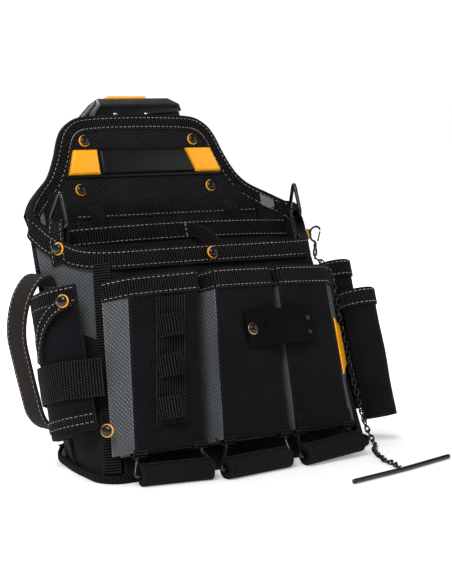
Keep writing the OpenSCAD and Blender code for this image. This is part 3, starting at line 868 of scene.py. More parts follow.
FINISHES = {
    "board_twill": Cloth((0.062, 0.063, 0.068), (0.0006, 0.0006, 0.0008), Pattern.TWILL, 3.5, 0.5),
    "pocket_twill": Cloth((0.036, 0.036, 0.044), (0.0004, 0.0004, 0.0006), Pattern.TWILL, 3.0, 0.45),
    "grey_weave": Cloth((0.3, 0.315, 0.325), (0.055, 0.06, 0.064), Pattern.BASKET, 1.9, 0.35),
    "webbing": Cloth((0.042, 0.04, 0.037), (0.0006, 0.0006, 0.0006), Pattern.RIB, 2.6, 0.45),
    "ribbed_webbing": Cloth((0.036, 0.036, 0.035), (0.0008, 0.0008, 0.0008), Pattern.RIB, 2.8, 0.5),
    "roll_webbing": Cloth((0.034, 0.034, 0.037), (0.0008, 0.0008, 0.0008), Pattern.CHEVRON, 2.6, 0.45),
    "strap": Cloth((0.035, 0.028, 0.025), (0.012, 0.01, 0.009), Pattern.BASKET, 1.2, 0.1, 0.7, 0.05),
    "raw_edge": Cloth((0.42, 0.42, 0.4), (0.14, 0.14, 0.14), Pattern.BASKET, 1.6, 0.3),
    "thread": Hard((0.2, 0.19, 0.165), (0.5, 0.48, 0.42), 0.85, 2600.0, 0.05),
    "moulded_base": Hard((0.012, 0.012, 0.013), (0.03, 0.03, 0.032), 0.55, 500.0, 0.12),
    "black_plastic": Hard((0.004, 0.004, 0.005), (0.007, 0.007, 0.008), 0.36, 1500.0, 0.03, shine=0.25),
    # The hood is the same black plastic as the housing; its lighter colour is a painted highlight on the
    # hub's top bevel.
    "hood_plastic_painted_highlight": Hard((0.022, 0.022, 0.024), (0.034, 0.034, 0.036), 0.42, 1500.0, 0.03, shine=0.5),
    "orange_plastic": Hard((0.9, 0.355, 0.004), (0.93, 0.4, 0.01), 0.33, 1100.0, 0.02),
    "black_steel": Hard((0.003, 0.003, 0.0035), (0.006, 0.006, 0.0065), 0.28, 700.0, 0.01, 0.0, 0.15),
    "clip_steel": Hard((0.002, 0.002, 0.0025), (0.004, 0.004, 0.0045), 0.5, 700.0, 0.01, shine=0.05),
    "bright_steel": Hard((0.5, 0.5, 0.5), (0.68, 0.67, 0.65), 0.3, 1600.0, 0.03, 1.0),
    "brass": Hard((0.42, 0.26, 0.1), (0.5, 0.33, 0.14), 0.36, 900.0, 0.02, 1.0),
}
MADE: dict[str, bpy.types.Material] = {}


def dress(obj: Object, finish: str, *nodes: str, rides: str = "pouch") -> Object:
    """Gives a piece its finish and its place in the pouch.

    Args:
        obj: the piece.
        finish: the finish's name.
        nodes: the CAD nodes that it stands for.
        rides: the body that carries it.

    Returns:
        The piece.
    """
    if finish not in MADE:
        MADE[finish] = FINISHES[finish].material(finish)
    obj.data.materials.clear()
    obj.data.materials.append(MADE[finish])
    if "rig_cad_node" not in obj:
        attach(obj, rides)
    if nodes:
        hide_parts(*nodes)
    LOG.info("%s: %d faces, %s", obj.name, len(obj.data.polygons), finish)
    return obj


# ---- the pouch ----


def flat(width: float, out: float = 0.0) -> list[tuple[float, float]]:
    """The section of a flat strap."""
    return [(out, -width / 2), (out, width / 2)]


def upright_strap(name: str, *points: Point, cells: Cells, thick: float, wide: float) -> Object:
    """A flat strap that stands upright along points in body axes."""
    return cloth(name, Band(Route(body(points)), flat(wide), up=RISE), cells, thick)


def hemmed(line: Route, edges: Point, wall: float, rows: Point, margin: float) -> tuple[Band, list[Seam]]:
    """Webbing folded over an upright edge, with its two rows of stitches.

    Args:
        line: the edge's line, in metres.
        edges: where the webbing's legs end and where it turns over, in millimetres.
        wall: the thickness of what it covers.
        rows: the heights of the stitches, in millimetres.
        margin: the share of the length that has no stitches at each end.

    Returns:
        The webbing's surface and its seams.
    """
    band = Band(line, fold(*edges, wall, HEM_PLY), up=RISE, corner=1.2)
    return band, straight(band, *(band.height_at(HEM_PLY, v) for v in rows), margin=margin)


@dataclass
class Studio:
    """The floor, lights and camera."""

    place: Point = (-0.774, -1.3187, 0.35975)
    heading: float = -31.811
    dip: float = 7.5003
    lens: float = 92.466

    def camera(self) -> None:
        """Sets up the camera."""
        data = bpy.data.cameras.new("camera")
        data.lens, data.sensor_width = self.lens, 36.0
        data.clip_start, data.clip_end = 0.05, 60
        cam = bpy.data.objects.new("camera", data)
        cam.location = self.place
        cam.rotation_euler = (math.radians(90 - self.dip), 0, math.radians(self.heading))
        bpy.context.scene.collection.objects.link(cam)
        bpy.context.scene.camera = cam

    def light(self, name: str, place: Point, size: float, power: float) -> None:
        """Hangs a soft square light that faces the pouch.

        Args:
            name: the light's name.
            place: where it hangs, in metres.
            size: its side in metres.
            power: in watts.
        """
        data = bpy.data.lights.new(name, "AREA")
        data.size, data.energy = size, power
        lamp = bpy.data.objects.new(name, data)
        lamp.location = place
        aim = lamp.location - type(lamp.location)((0, 0, 0.18))
        lamp.rotation_euler = aim.to_track_quat("Z", "Y").to_euler()
        bpy.context.scene.collection.objects.link(lamp)

    def build(self) -> None:
        """Makes the pale floor, the sky and the lights."""
        bpy.context.scene.view_settings.view_transform = "Standard"
        bpy.ops.object.select_all(action="DESELECT")
        bpy.ops.mesh.primitive_grid_add(x_subdivisions=4, y_subdivisions=4, size=60)
        ground = bpy.context.object
        ground.name = "floor"
        n = Nodes("floor")
        pale = n.blend(n.noise(3.0), (0.93, 0.93, 0.93), (0.95, 0.95, 0.95))
        n.shade(pale, n.range(n.noise(8.0), 0, 1, 0.6, 0.7))
        n.shader.inputs["Emission Color"].default_value = (1, 1, 1, 1)
        far = n.add("ShaderNodeVectorMath", {0: n.place()}, operation="LENGTH").outputs["Value"]
        n.tree.links.new(n.range(far, 0.15, 0.75, 0.25, 0.66), n.shader.inputs["Emission Strength"])
        ground.data.materials.append(n.material)
        world = bpy.data.worlds.new("sky")
        bpy.context.scene.world = world
        world.use_nodes = True
        tree = world.node_tree
        back = tree.nodes["Background"]
        path = tree.nodes.new("ShaderNodeLightPath")
        glossy, power = (tree.nodes.new("ShaderNodeMapRange") for _ in range(2))
        glossy.inputs[3].default_value, glossy.inputs[4].default_value = 0.42, 0.1
        power.inputs[4].default_value = 1.1
        tree.links.new(path.outputs["Is Glossy Ray"], glossy.inputs[0])
        tree.links.new(glossy.outputs[0], power.inputs[3])
        tree.links.new(path.outputs["Is Camera Ray"], power.inputs[0])
        tree.links.new(power.outputs[0], back.inputs["Strength"])
        back.inputs["Color"].default_value = (1, 1, 1, 1)
        self.light("key", (-1.3, -1.2, 1.9), 1.0, 40)
        self.light("fill", (1.8, -1.6, 1.3), 1.6, 9)
        self.light("rim", (-0.5, 1.6, 1.9), 1.2, 48)


@dataclass
class Chain:
    """The twisted link chain on its snap, and the bar at its end."""

    link_long: float = 9.4
    link_wide: float = 6.0
    link_wire: float = 1.7
    pitch: float = 5.7
    bar: float = 145.0
    bar_thick: float = 4.9

    def route(self) -> Route:
        """The chain's line, from the snap to the bar."""
        return Route(floor([
            (134.5, -32, 188.5), (140, -36.5, 184), (146.5, -42.5, 173), (147, -51, 150), (147, -59, 128),
            (147, -69, 102), (147, -79, 78), (147.4, -89, 54), (147.6, -99, 32), (148.6, -108, 16),
            (148.5, -117, 7), (145, -126, 3), (137, -134, 3), (132, -143, 3), (127, -153, 3), (124, -163, 3),
            (119, -174, 3), (118, -188, 3), (114, -203.5, 3),
        ]))

    def link(self) -> Object:
        """One link with a quarter twist, drawn round the origin along X."""
        long, wide = (self.link_long - self.link_wire) / 2, (self.link_wide - self.link_wire) / 2
        corners = [(-long, -wide), (long, -wide), (long, wide), (-long, wide)]
        line = Route([(x * MM, y * MM, 0.0) for x, y in corners], wide * MM * 0.9, closed=True)
        link = wire("link", line, self.link_wire, (22, 7))
        twist = math.radians(35) / (long * MM)
        for v in link.data.vertices:
            angle = v.co.x * twist
            cos, sin = math.cos(angle), math.sin(angle)
            v.co.y, v.co.z = v.co.y * cos - v.co.z * sin, v.co.y * sin + v.co.z * cos
        return link

    def build(self) -> None:
        """Makes the chain and its bar."""
        route = self.route()
        count = round(route.length / (self.pitch * MM))
        share = (np.arange(count) + 0.5) / count
        points, along = route.at(share), route.along(share)
        side = unit(np.cross(along, (0.8, 0.5, 0.33)))
        top = np.cross(side, along)
        turn = (np.arange(count) * math.radians(80) + 0.4)[:, None]
        places = standing_on(points, along, side * np.cos(turn) + top * np.sin(turn))
        chain = stamped("tape_chain_links", self.link(), places)
        middle, heading, bend = np.array([114, -212.4, 2.6]), 12.0, 2.0
        ends = [
            middle + np.array([math.cos(math.radians(a)), math.sin(math.radians(a)), 0]) * self.bar / 2
            for a in (heading + 180 - bend, heading + bend)
        ]
        bar = wire("tape_cross_bar", Route(floor([ends[0], middle, ends[1]]), 0.01), self.bar_thick, (40, 14))
        dress(bar, "black_steel", "tape_bar")
        dress(chain, "black_steel", "tape_chain")
        path = route.at(np.linspace(0, 1, 60))


@dataclass
class Board:
    """The back board with its bound edge, and the wings that fold forward from it."""

    height: float = 354.0
    thick: float = 6.0
    foot: float = 100.0
    half_flat: float = 125.0
    binding: float = 15.5
    ply: float = 1.3

    def shoulder(self) -> list[Point]:
        """The right half of the board's edge, from the middle of the top to the wing's tip."""
        h = self.height
        return [
            (66, 0, h), (78, 0, h - 4), (88, 0, h - 12), (94, 0, h - 22), (102, 0, h - 43),
            (113, 0, h - 64), (125, -0.5, h - 77), (141, -13, h - 93), (154.5, -30, h - 109.5),
        ]

    def build(self) -> None:
        """Makes the board, the wings and the webbing round them."""
        rows = [(self.half_flat, z) for z in (self.foot, 160, 220, 262, 277)]
        rows += [(p[0], p[2]) for p in reversed(self.shoulder()[:6])]
        face = Loft([body([(-x, 0, z), (x, 0, z)]) for x, z in rows], 0.0, 0.35, seed=4)
        dress(cloth("board_panel", face, (56, 60), self.thick, 0.8), "board_twill", "back_board")
        right = self.shoulder()
        line = Route(body(flipped(right) + right))
        turn = [(0.72, -0.69, 0), (0.62, -0.78, 0), (0.35, -0.94, 0)]
        facing = turned([*turn, *[FRONT] * 14, *flipped(turn)])
        edge = Band(line, fold(-self.binding, 1.6, self.thick, self.ply), face=facing, corner=1.3)
        seams = (2.6, self.binding - 3.0)
        binding = cloth("board_edge_webbing", edge, (150, 16), 1.2)
        dress(binding, "webbing", "board_binding")
        rows = [edge.height_at(out, -v) for out in (self.ply, -self.thick - self.ply) for v in seams]
        dress(stitched("board_edge_stitches", straight(edge, *rows, margin=0.01)), "thread")
        foot = stood([(-126.5, 35, 6.3), (-142, -4, 6.3), (-152.5, -44, 6.3)])
        middle = [(-125.3, 0, 100), (-142, -15, 100), (-155, -33, 100)]
        top = [(-125.3, 0, 277.5), (-141, -14, 261), (-156, -31, 243)]
        patches = {"left": ((0.72, 0.92), (0.84, 0.91)), "right": ((0.3, 0.62), (0.9, 0.965))}
        for side, patch in patches.items():
            rows = [r[::-1] if side == "left" else flipped(r[::-1]) for r in (foot, middle, top)]
            wing = Loft([body(r) for r in rows], 0.0, 0.8, seed=6)
            dress(cloth(f"{side}_wing_panel", wing, (24, 60), 3.0), "board_twill", f"{side}_wing")
            dress(cloth(f"{side}_cut_end", Lifted(wing, *patch, 1.6), (8, 8), 0.8), "raw_edge")


@dataclass
class Walls:
    """The walls of the main compartment, the base and their bindings."""

    rim: float = 185.0
    depth: float = 100.0
    webbing: float = 20.0
    foot: float = 6.3

    def rim_half(self) -> list[Point]:
        """The rim band's centre line from the left wing's tip to the front."""
        d = self.depth
        return [
            (-147, -23, 239), (-157.5, -32, 234), (-153, -47, 215), (-146, -61, 201), (-137, -76, 189),
            (-126, 8 - d, 181.5), (-112, -1 - d, 178.5),
        ]

    def gussets(self) -> None:
        """The grey side walls."""
        foot = stood([(-152.5, -45, self.foot), (-154, -72, self.foot), (-150, -95, self.foot)])
        top = [(-156, -32, 234), (-143, -62, 203), (-122, 7 - self.depth, self.rim - 3)]
        for side in ("left", "right"):
            rows = [body(r if side == "left" else flipped(r)) for r in (foot, top)]
            wall = Loft(rows, 0.0, 1.8, seed=8)
            low, high = Lifted(wall, (0, 1), (0, 0.62), 0.6), Lifted(wall, (0, 1), (0.6, 1), 0.0)
            dress(cloth(f"{side}_side_boot", low, (26, 34), 2.0), "board_twill", f"{side}_gusset")
            dress(cloth(f"{side}_side_wall", high, (26, 24), 2.0), "grey_weave")

    def front(self) -> None:
        """The black front and lower back walls."""
        foot = stood([(x, -107, self.foot) for x in (-133.5, 0, 133.5)])
        top = [(-114, -self.depth, self.rim), (0, -self.depth - 3, self.rim), (114, -self.depth, self.rim)]
        wall = Loft([body(foot), body(top)], 0.0, 1.2, seed=3)
        dress(cloth("front_wall", wall, (60, 50), 3.0), "board_twill", "front_panel")
        back = Loft([body(stood([(126, 37.5, self.foot), (-126, 37.5, self.foot)])),
                     body([(125, 6, 99.5), (-125, 6, 99.5)])], 0.0, 1.0)
        dress(cloth("lower_back_wall", back, (40, 20), 3.0), "board_twill", "back_lower_wall")

    def bindings(self) -> None:
        """The webbing round the rim and down the front corners."""
        half = self.rim_half()
        line = Route(body([*half, (-60, -103.6, 178), (0, -104.5, 178), (60, -103.6, 178), *flipped(half)]))
        half_wide, wall, ply = self.webbing / 2, 3.0, 2.2
        band = Band(line, fold(-half_wide, half_wide + 0.6, wall, ply), up=RISE, corner=1.2)
        dress(cloth("rim_webbing", band, (170, 14), 1.25), "webbing", "rim_band")
        rows = [band.height_at(out, v) for out in (ply, -wall - ply) for v in (6.6, -6.8)]
        dress(stitched("rim_stitches", straight(band, *rows, margin=0.01)), "thread")
        bands, seams = [], []
        for side in (-1, 1):
            foot = mixed(stood([(-149.6, -96, 8)])[0], stood([(-137, -106.5, 8)])[0], 0.5)
            top = np.array([-119.4, -97.2, 176.0])
            middle = mixed(foot, top, 0.5) + (-0.5, -1.0, 0)
            face = turned([(side * 0.66, -0.75, 0)])[0]
            line = Route(body([(p[0] * -side, p[1], p[2]) for p in (foot, middle, top)]))
            section = [(1.0, 8.2), (1.9, 4), (2.2, 0), (1.9, -4), (1.0, -8.2)]
            strip = Band(line, section, face=[face, face], corner=None)
            bands.append(cloth(f"corner_webbing_{side}", strip, (60, 10), 1.5))
            seams += straight(strip, 0.14, 0.86)
        dress(joined("corner_webbing", bands), "webbing", "corner_bindings")
        dress(stitched("corner_stitches", seams), "thread")

    def base(self) -> None:
        """The stiff base and the webbing round it."""
        half = [(128, 38), (150, 0), (157, -45), (157, -92), (150, -104), (138, -111)]
        outline = [*half, *[(-x, y) for x, y in reversed(half)]]
        line = Route(floor([(x, y, 0) for x, y in outline]), 0.012, closed=True)
        edge = line.at(np.linspace(0, 1, 120, endpoint=False))
        rings = [edge + (0, 0, z * MM) for z in (0.2, 4.9)]
        dress(solid("base_board", rings, 0.9, 2), "moulded_base", "base_panel")
        grown = [(x + math.copysign(2.4, x), y + math.copysign(2.4, y), 4.0) for x, y in outline]
        line = Route(floor([(x, y, z) for x, y, z in reversed(grown)]), 0.014, closed=True)
        section = [(-3.2, -3.9), (-1.0, -3.9), (0.0, -2.4), (0.2, 1), (-0.4, 3.6), (-2.2, 4.0)]
        band = Band(line, section, up=UP)
        strip = cloth("base_webbing", band, (240, 12), 1.2)
        edited(strip, (bpy.ops.mesh.remove_doubles, {"threshold": 1e-6}))
        dress(strip, "webbing", "base_binding")

    def build(self) -> None:
        """Makes the compartment."""
        self.base()
        self.gussets()
        self.front()
        self.bindings()


def box(x: Point, y: Point, z: Point, taper: float = 0.0) -> list[np.ndarray]:
    """A block's two rings of corners in body axes, front ring first.

    Args:
        x: its left and right limits.
        y: its front and back limits.
        z: its foot and top.
        taper: how far the front is drawn in.

    Returns:
        The front ring and the back ring, in metres.
    """
    rings = []
    for depth, inset in ((y[0], taper), (y[1], 0.0)):
        a, b, c, d = x[0] + inset, x[1] - inset, z[0] + inset, z[1] - inset
        rings.append(body([(a, depth, c), (a, depth, d), (b, depth, d), (b, depth, c)]))
    return rings


@dataclass
class Hub:
    """The moulded hub behind the board's top, its button, latch and belt clip."""

    half: float = 62.0
    foot: float = 300.0
    top: float = 378.0
    front: float = 8.0
    back: float = 34.0

    def housing(self) -> None:
        """The housing: a block with a drawn-in, recessed face and a sloping hood over it."""
        def ring(depth: float, foot: float, shape: Sequence[tuple[float, float]]) -> np.ndarray:
            """One ring of corners, the lower ones first."""
            (a, _), (b, _) = shape[0], shape[-1]
            return body([(a, depth, foot), *[(x, depth, z) for x, z in shape], (b, depth, foot)])

        wide, f = self.half, self.foot
        block = [
            (-wide + 4, 353), (-wide + 9, 360), (-40, 372), (48, 373), (wide - 1.5, 369), (wide - 0.6, 353),
        ]
        full = [(-wide, 353), (-wide + 4, 360), (-38, 379), (50, 380), (wide - 1.5, 374), (wide, 353)]
        rings = [
            ring(self.front + 0.6, f, block), ring(self.front + 5, f, full),
            ring(self.back - 3, f, full), ring(self.back, f + 3, block),
        ]
        dress(solid("hub_shell", rings, 0.7, 2), "black_plastic", "hub_housing")
        lip = [(-48.5, 354), (-44, 363), (-37, 370.5), (59.5, 371.3), (61.2, 363.5)]
        hood = [(-59, 354.5), (-55, 361.5), (-35.5, 380.6), (51.5, 381.2), (61.6, 374.6)]
        under = [(-47, 354), (-42.5, 362.8), (-36, 369), (58, 370), (59.5, 362.8)]
        shapes = ((9.4, under), (3.8, lip), (13.5, hood))
        rings = [body([(x, depth, z) for x, z in shape]) for depth, shape in shapes]
        # The hood gets a lighter copy of the black plastic: painted highlight on the hub's top bevel.
        dress(solid("hub_hood", rings, 0.5, 2), "hood_plastic_painted_highlight")

    def moving(self) -> None:
        """The button, the latch and the belt clip."""
        key = [solid("key", box((-23.5, 25), (13.4, 26), (372, 383.6)), 1.6, 4)]
        for y in (15.5, 18.5, 21.5):
            key.append(solid("grip", box((-17, 17), (y, y + 1.4), (383.2, 384.0)), 0.35, 2))
        key.append(solid("stem", box((-6, 6), (14.5, 17), (356, 372.6)), 0.5, 2))
        button = joined("release_key", key)
        dress(button, "orange_plastic", "release_button", rides="button")
        side = turned([(1, 0, 0)])[0]
        line = Route(body([(0, 20.7, 281), (0, 20.7, 226.8), (0, 43.4, 226.8), (0, 43.4, 340)]), 0.009)
        parts = [cloth("hook", Band(line, flat(80, 2.4), up=side), (70, 14), 5.0, 1.0),
                 solid("tongue", box((-30, 30), (18.3, 23.1), (280, 347)), 0.8, 2)]
        dress(joined("belt_hook", parts), "black_plastic", "belt_clip", rides="belt_clip")

    def build(self) -> None:
        """Makes the hub."""
        self.housing()
        self.moving()
        for node in ("hub_screws", "button_spring", "latch_plate"):
            dress(frame["nodes"][node], "bright_steel")


@dataclass
class NamePlate:
    """The blank moulded plate: a bar, two end caps and a backing strip."""

    foot: float = 291.0
    tall: float = 27.0
    half: float = 83.0
    cap: float = 32.0
    slope: float = 9.0

    def bar(self, name: str, foot: Point, top: Point, z: Point, y: Point, inset: float) -> Object:
        """One slanted bar.

        Args:
            name: the piece's name.
            foot: its left and right ends along the bottom.
            top: its left and right ends along the top.
            z: its foot and top.
            y: its front and back.
            inset: how far its face is drawn in by the bevel.

        Returns:
            The piece.
        """
        rings = []
        for d, i in ((y[0], inset), (y[0] + inset, inset * 0.12), (y[1], 0.0)):
            left, right = [(foot[0] + i, d, z[0] + i), (top[0] + i, d, z[1] - i)], [(top[1] - i, d, z[1] - i)]
            rings.append(body([*left, *right, (foot[1] - i, d, z[0] + i)]))
        return solid(name, rings, 0.35, 2)

    def build(self) -> None:
        """Makes the plate."""
        low, high, h = self.foot, self.foot + self.tall, self.half
        foot, top, tall = (-h - 11, h + 11), (-h - 2, h + 2), (low - 2.4, high + 1.4)
        dress(self.bar("plate_strip", foot, top, tall, (-2.8, -0.2), 0.5), "black_plastic", "name_plate_base")
        inner, slope, tall = h - self.cap, self.slope, (low, high)
        foot, top = (-2 - inner, inner + slope), (-2 - inner, inner)
        dress(self.bar("plate_bar", foot, top, tall, (-6.8, -2.7), 2.2), "black_plastic", "name_plate")
        end = -4.6 - inner
        left = self.bar("cap_left", (-h - slope, end), (-h, end), tall, (-7.8, -2.7), 1.9)
        foot, top = (inner + slope + 0.5, h + slope), (inner + 0.5, h)
        right = self.bar("cap_right", foot, top, tall, (-7.8, -2.7), 1.9)
        dress(joined("plate_caps", [left, right]), "orange_plastic", "name_plate_caps")


@dataclass
class Rivets:
    """The domed rivets, each on its orange collar."""

    collar: float = 12.6
    cap: float = 11.0

    def places(self) -> list[np.ndarray]:
        """Where the rivets sit."""
        spots = [((x, 0, z), 0.0) for x, z in ((-66, 329), (66, 329), (-79, 276), (79, 276))]
        spots += [((-147.6, -66.5, 200), -62.0), ((147.6, -66.5, 200), 62.0), ((0, -108.2, 178), 0.0),
                  ((-168, -100, 142), -48.0), ((-152, -117.5, 14), -48.0)]
        turns = [math.radians(h) for _, h in spots]
        out = turned([(math.sin(h), -math.cos(h), 0) for h in turns])
        along = turned([(math.cos(h), math.sin(h), 0) for h in turns])
        return standing_on(body([p for p, _ in spots]), along, out)

    def build(self) -> None:
        """Makes the rivets and their collars."""
        r, big = self.cap / 2, self.collar / 2
        profile = [
            (r - 1.5, 0.5), (r - 0.2, 1.6), (r, 2.2), (r - 0.4, 3.0), (r - 1.5, 3.8), (r - 3.2, 4.3),
            (0.3, 4.5),
        ]
        cap = lathe("cap", profile)
        ring = lathe("collar", [(big, 0.0), (big, 0.6), (big - 0.5, 1.05), (r - 1.5, 1.1)])
        dress(stamped("rivet_caps", cap, self.places()), "black_steel", "rivets")
        dress(stamped("rivet_collars", ring, self.places()), "orange_plastic", "rivet_rings")


@dataclass
class InnerPockets:
    """The flat pockets inside, the pen loops between them and the divider in front."""

    left: float = -96.0
    right: float = 122.0
    foot: float = 130.0
    top: float = 255.0
    front: float = -14.0

    def pockets(self) -> None:
        """The pocket sheet on the board, its webbing and the pen loops."""
        f = self.front
        rows = [body([(self.left, f, z), (self.right, f, z)]) for z in (self.foot, 190, self.top)]
        sheet = Loft(rows, 0.6, 0.7, seed=11)
        sides = []
        for x in (self.left + 1.2, -30.0, 40.0, 120.0):
            rows = [body([(x, -0.4, z), (x, f + 1.8, z)]) for z in (self.foot, self.top - 14)]
            sides.append(cloth("side", Loft(rows), (4, 30), 1.4))
        panel = cloth("inner_pocket_sheet", sheet, (60, 34), 2.0)
        dress(joined("inner_pocket_sheet", [panel, *sides]), "board_twill", "inner_pocket_back")
        bands, seams = [], []
        for k, (a, b) in enumerate(((-96, -80), (-66, 84), (96, 122))):
            line = Route(body([(a, f, 248.5), (mixed([a], [b], 0.5)[0], f - 0.5, 248.5), (b, f, 248.5)]))
            band = Band(line, fold(-7.5, 7.5, 1.8, 1.2), up=RISE, corner=1.0)
            bands.append(cloth(f"pocket_edge_{k}", band, (max(8, round((b - a) / 4)), 10), 1.0))
            seams += straight(band, band.height_at(1.2, -5.2), margin=0.02)
        dress(joined("inner_pocket_webbing", bands), "webbing", "inner_pocket_back_webbing")
        dress(stitched("inner_pocket_stitches", seams), "thread")
        loops = []
        for x in (-73, 90):
            plan = [(-5.6, -0.6), (-6.2, -8), (0, -14), (6.2, -8), (5.6, -0.6)]
            points = [(x + dx, f + dy, 235) for dx, dy in plan]
            loops.append(upright_strap("loop", *points, cells=(28, 8), thick=1.5, wide=18))
        dress(joined("pen_loop_webbing", loops), "webbing", "pen_loops")

    def divider(self) -> None:
        """The divider across the compartment, with its ribbed webbing."""
        plan = [(-136, -46), (-98, -53), (-60, -57.5), (0, -60), (60, -57.5), (98, -53), (136, -46)]
        panel = Loft([body([(x, y, z) for x, y in plan]) for z in (40, 130, 221)], 0.0, 1.2, seed=14)
        dress(cloth("divider_sheet", panel, (60, 34), 2.0), "board_twill", "divider_panel")
        line = Route(body([(x, y - 0.2, 214) for x, y in plan]))
        band = Band(line, fold(-9, 9, 1.8, HEM_PLY), up=RISE, corner=1.0)
        dress(cloth("divider_edge_webbing", band, (110, 12), 1.2), "ribbed_webbing", "divider_webbing")
        low, high = band.height_at(HEM_PLY, -7.5), band.height_at(HEM_PLY, 7.0)
        points = [(3, -62.5, 214), (5, -77, 208), (8, -91, 199), (10, -101, 188)]
        dress(upright_strap("divider_tail", *points, cells=(30, 6), thick=1.5, wide=13), "ribbed_webbing")
        seams = straight(band, low, high, margin=0.01)
        seams += [Seam(band, (s, low), (s, high)) for s in (0.505, 0.509)]
        dress(stitched("divider_stitches", seams), "thread")

    def build(self) -> None:
        """Makes the inside."""
        self.pockets()
        self.divider()


@dataclass
class StrapRing:
    """A triangular strap ring in its webbing tab, on one side of the pouch."""

    side: str
    place: Point = (-141.0, -60.0, 224.0)
    turn: float = -78.0
    tilt: float = 21.0
    wide: float = 33.0
    tall: float = 36.5
    thick: float = 4.0
    rim: float = -62.0

    def seen(self, points: Sequence[Point], turn: float, tilt: float) -> np.ndarray:
        """Points drawn round the ring's bar, carried to its place.

        Args:
            points: local points in millimetres.
            turn: the heading in degrees.
            tilt: the tilt of the bar in degrees.

        Returns:
            The points in body axes, mirrored on the right.
        """
        a, b = math.radians(tilt), math.radians(turn)
        x, y, z = np.asarray(points, float).T
        x, z = x * math.cos(a) + z * math.sin(a), z * math.cos(a) - x * math.sin(a)
        x, y = x * math.cos(b) - y * math.sin(b), x * math.sin(b) + y * math.cos(b)
        p = np.stack([x, y, z], axis=1) + self.place
        return p * (1 if self.side == "left" else -1, 1, 1)

    def build(self) -> tuple[Object, Surface]:
        """Makes the ring.

        Returns:
            The tab that holds it and the tab's surface.
        """
        w = self.wide / 2
        corners = self.seen([(-w, 0, 0), (0, 0, self.tall), (w, 0, 0)], self.turn, self.tilt)
        line = Route(body(corners), 0.0085, closed=True)
        up = turned([np.subtract(*self.seen([(0, 1, 0), (0, 0, 0)], self.turn, self.tilt))])[0]
        ring = wire(f"{self.side}_strap_ring", line, self.thick, (90, 16), up)
        dress(ring, "black_steel", f"{self.side}_ring", rides=f"{self.side}_ring")
        path = [
            (0, -7.0, -39), (0, -6.8, -22), (0, -6.2, -10), (0, -4.6, -2), (0, -1.8, 4.0), (0, 2.2, 3.6),
            (0, 3.8, -2), (0, 2.8, -12), (0, 2.2, -26),
        ]
        across = turned([np.subtract(*self.seen([(0, 0, 0), (1, 0, 0)], self.rim, 0))])[0]
        up = across * (1 if self.side == "left" else -1)
        band = Band(Route(body(self.seen(path, self.rim, 0))), flat(18, 0.6), up=up)
        return cloth(f"{self.side}_tab", band, (44, 8), 1.5), band


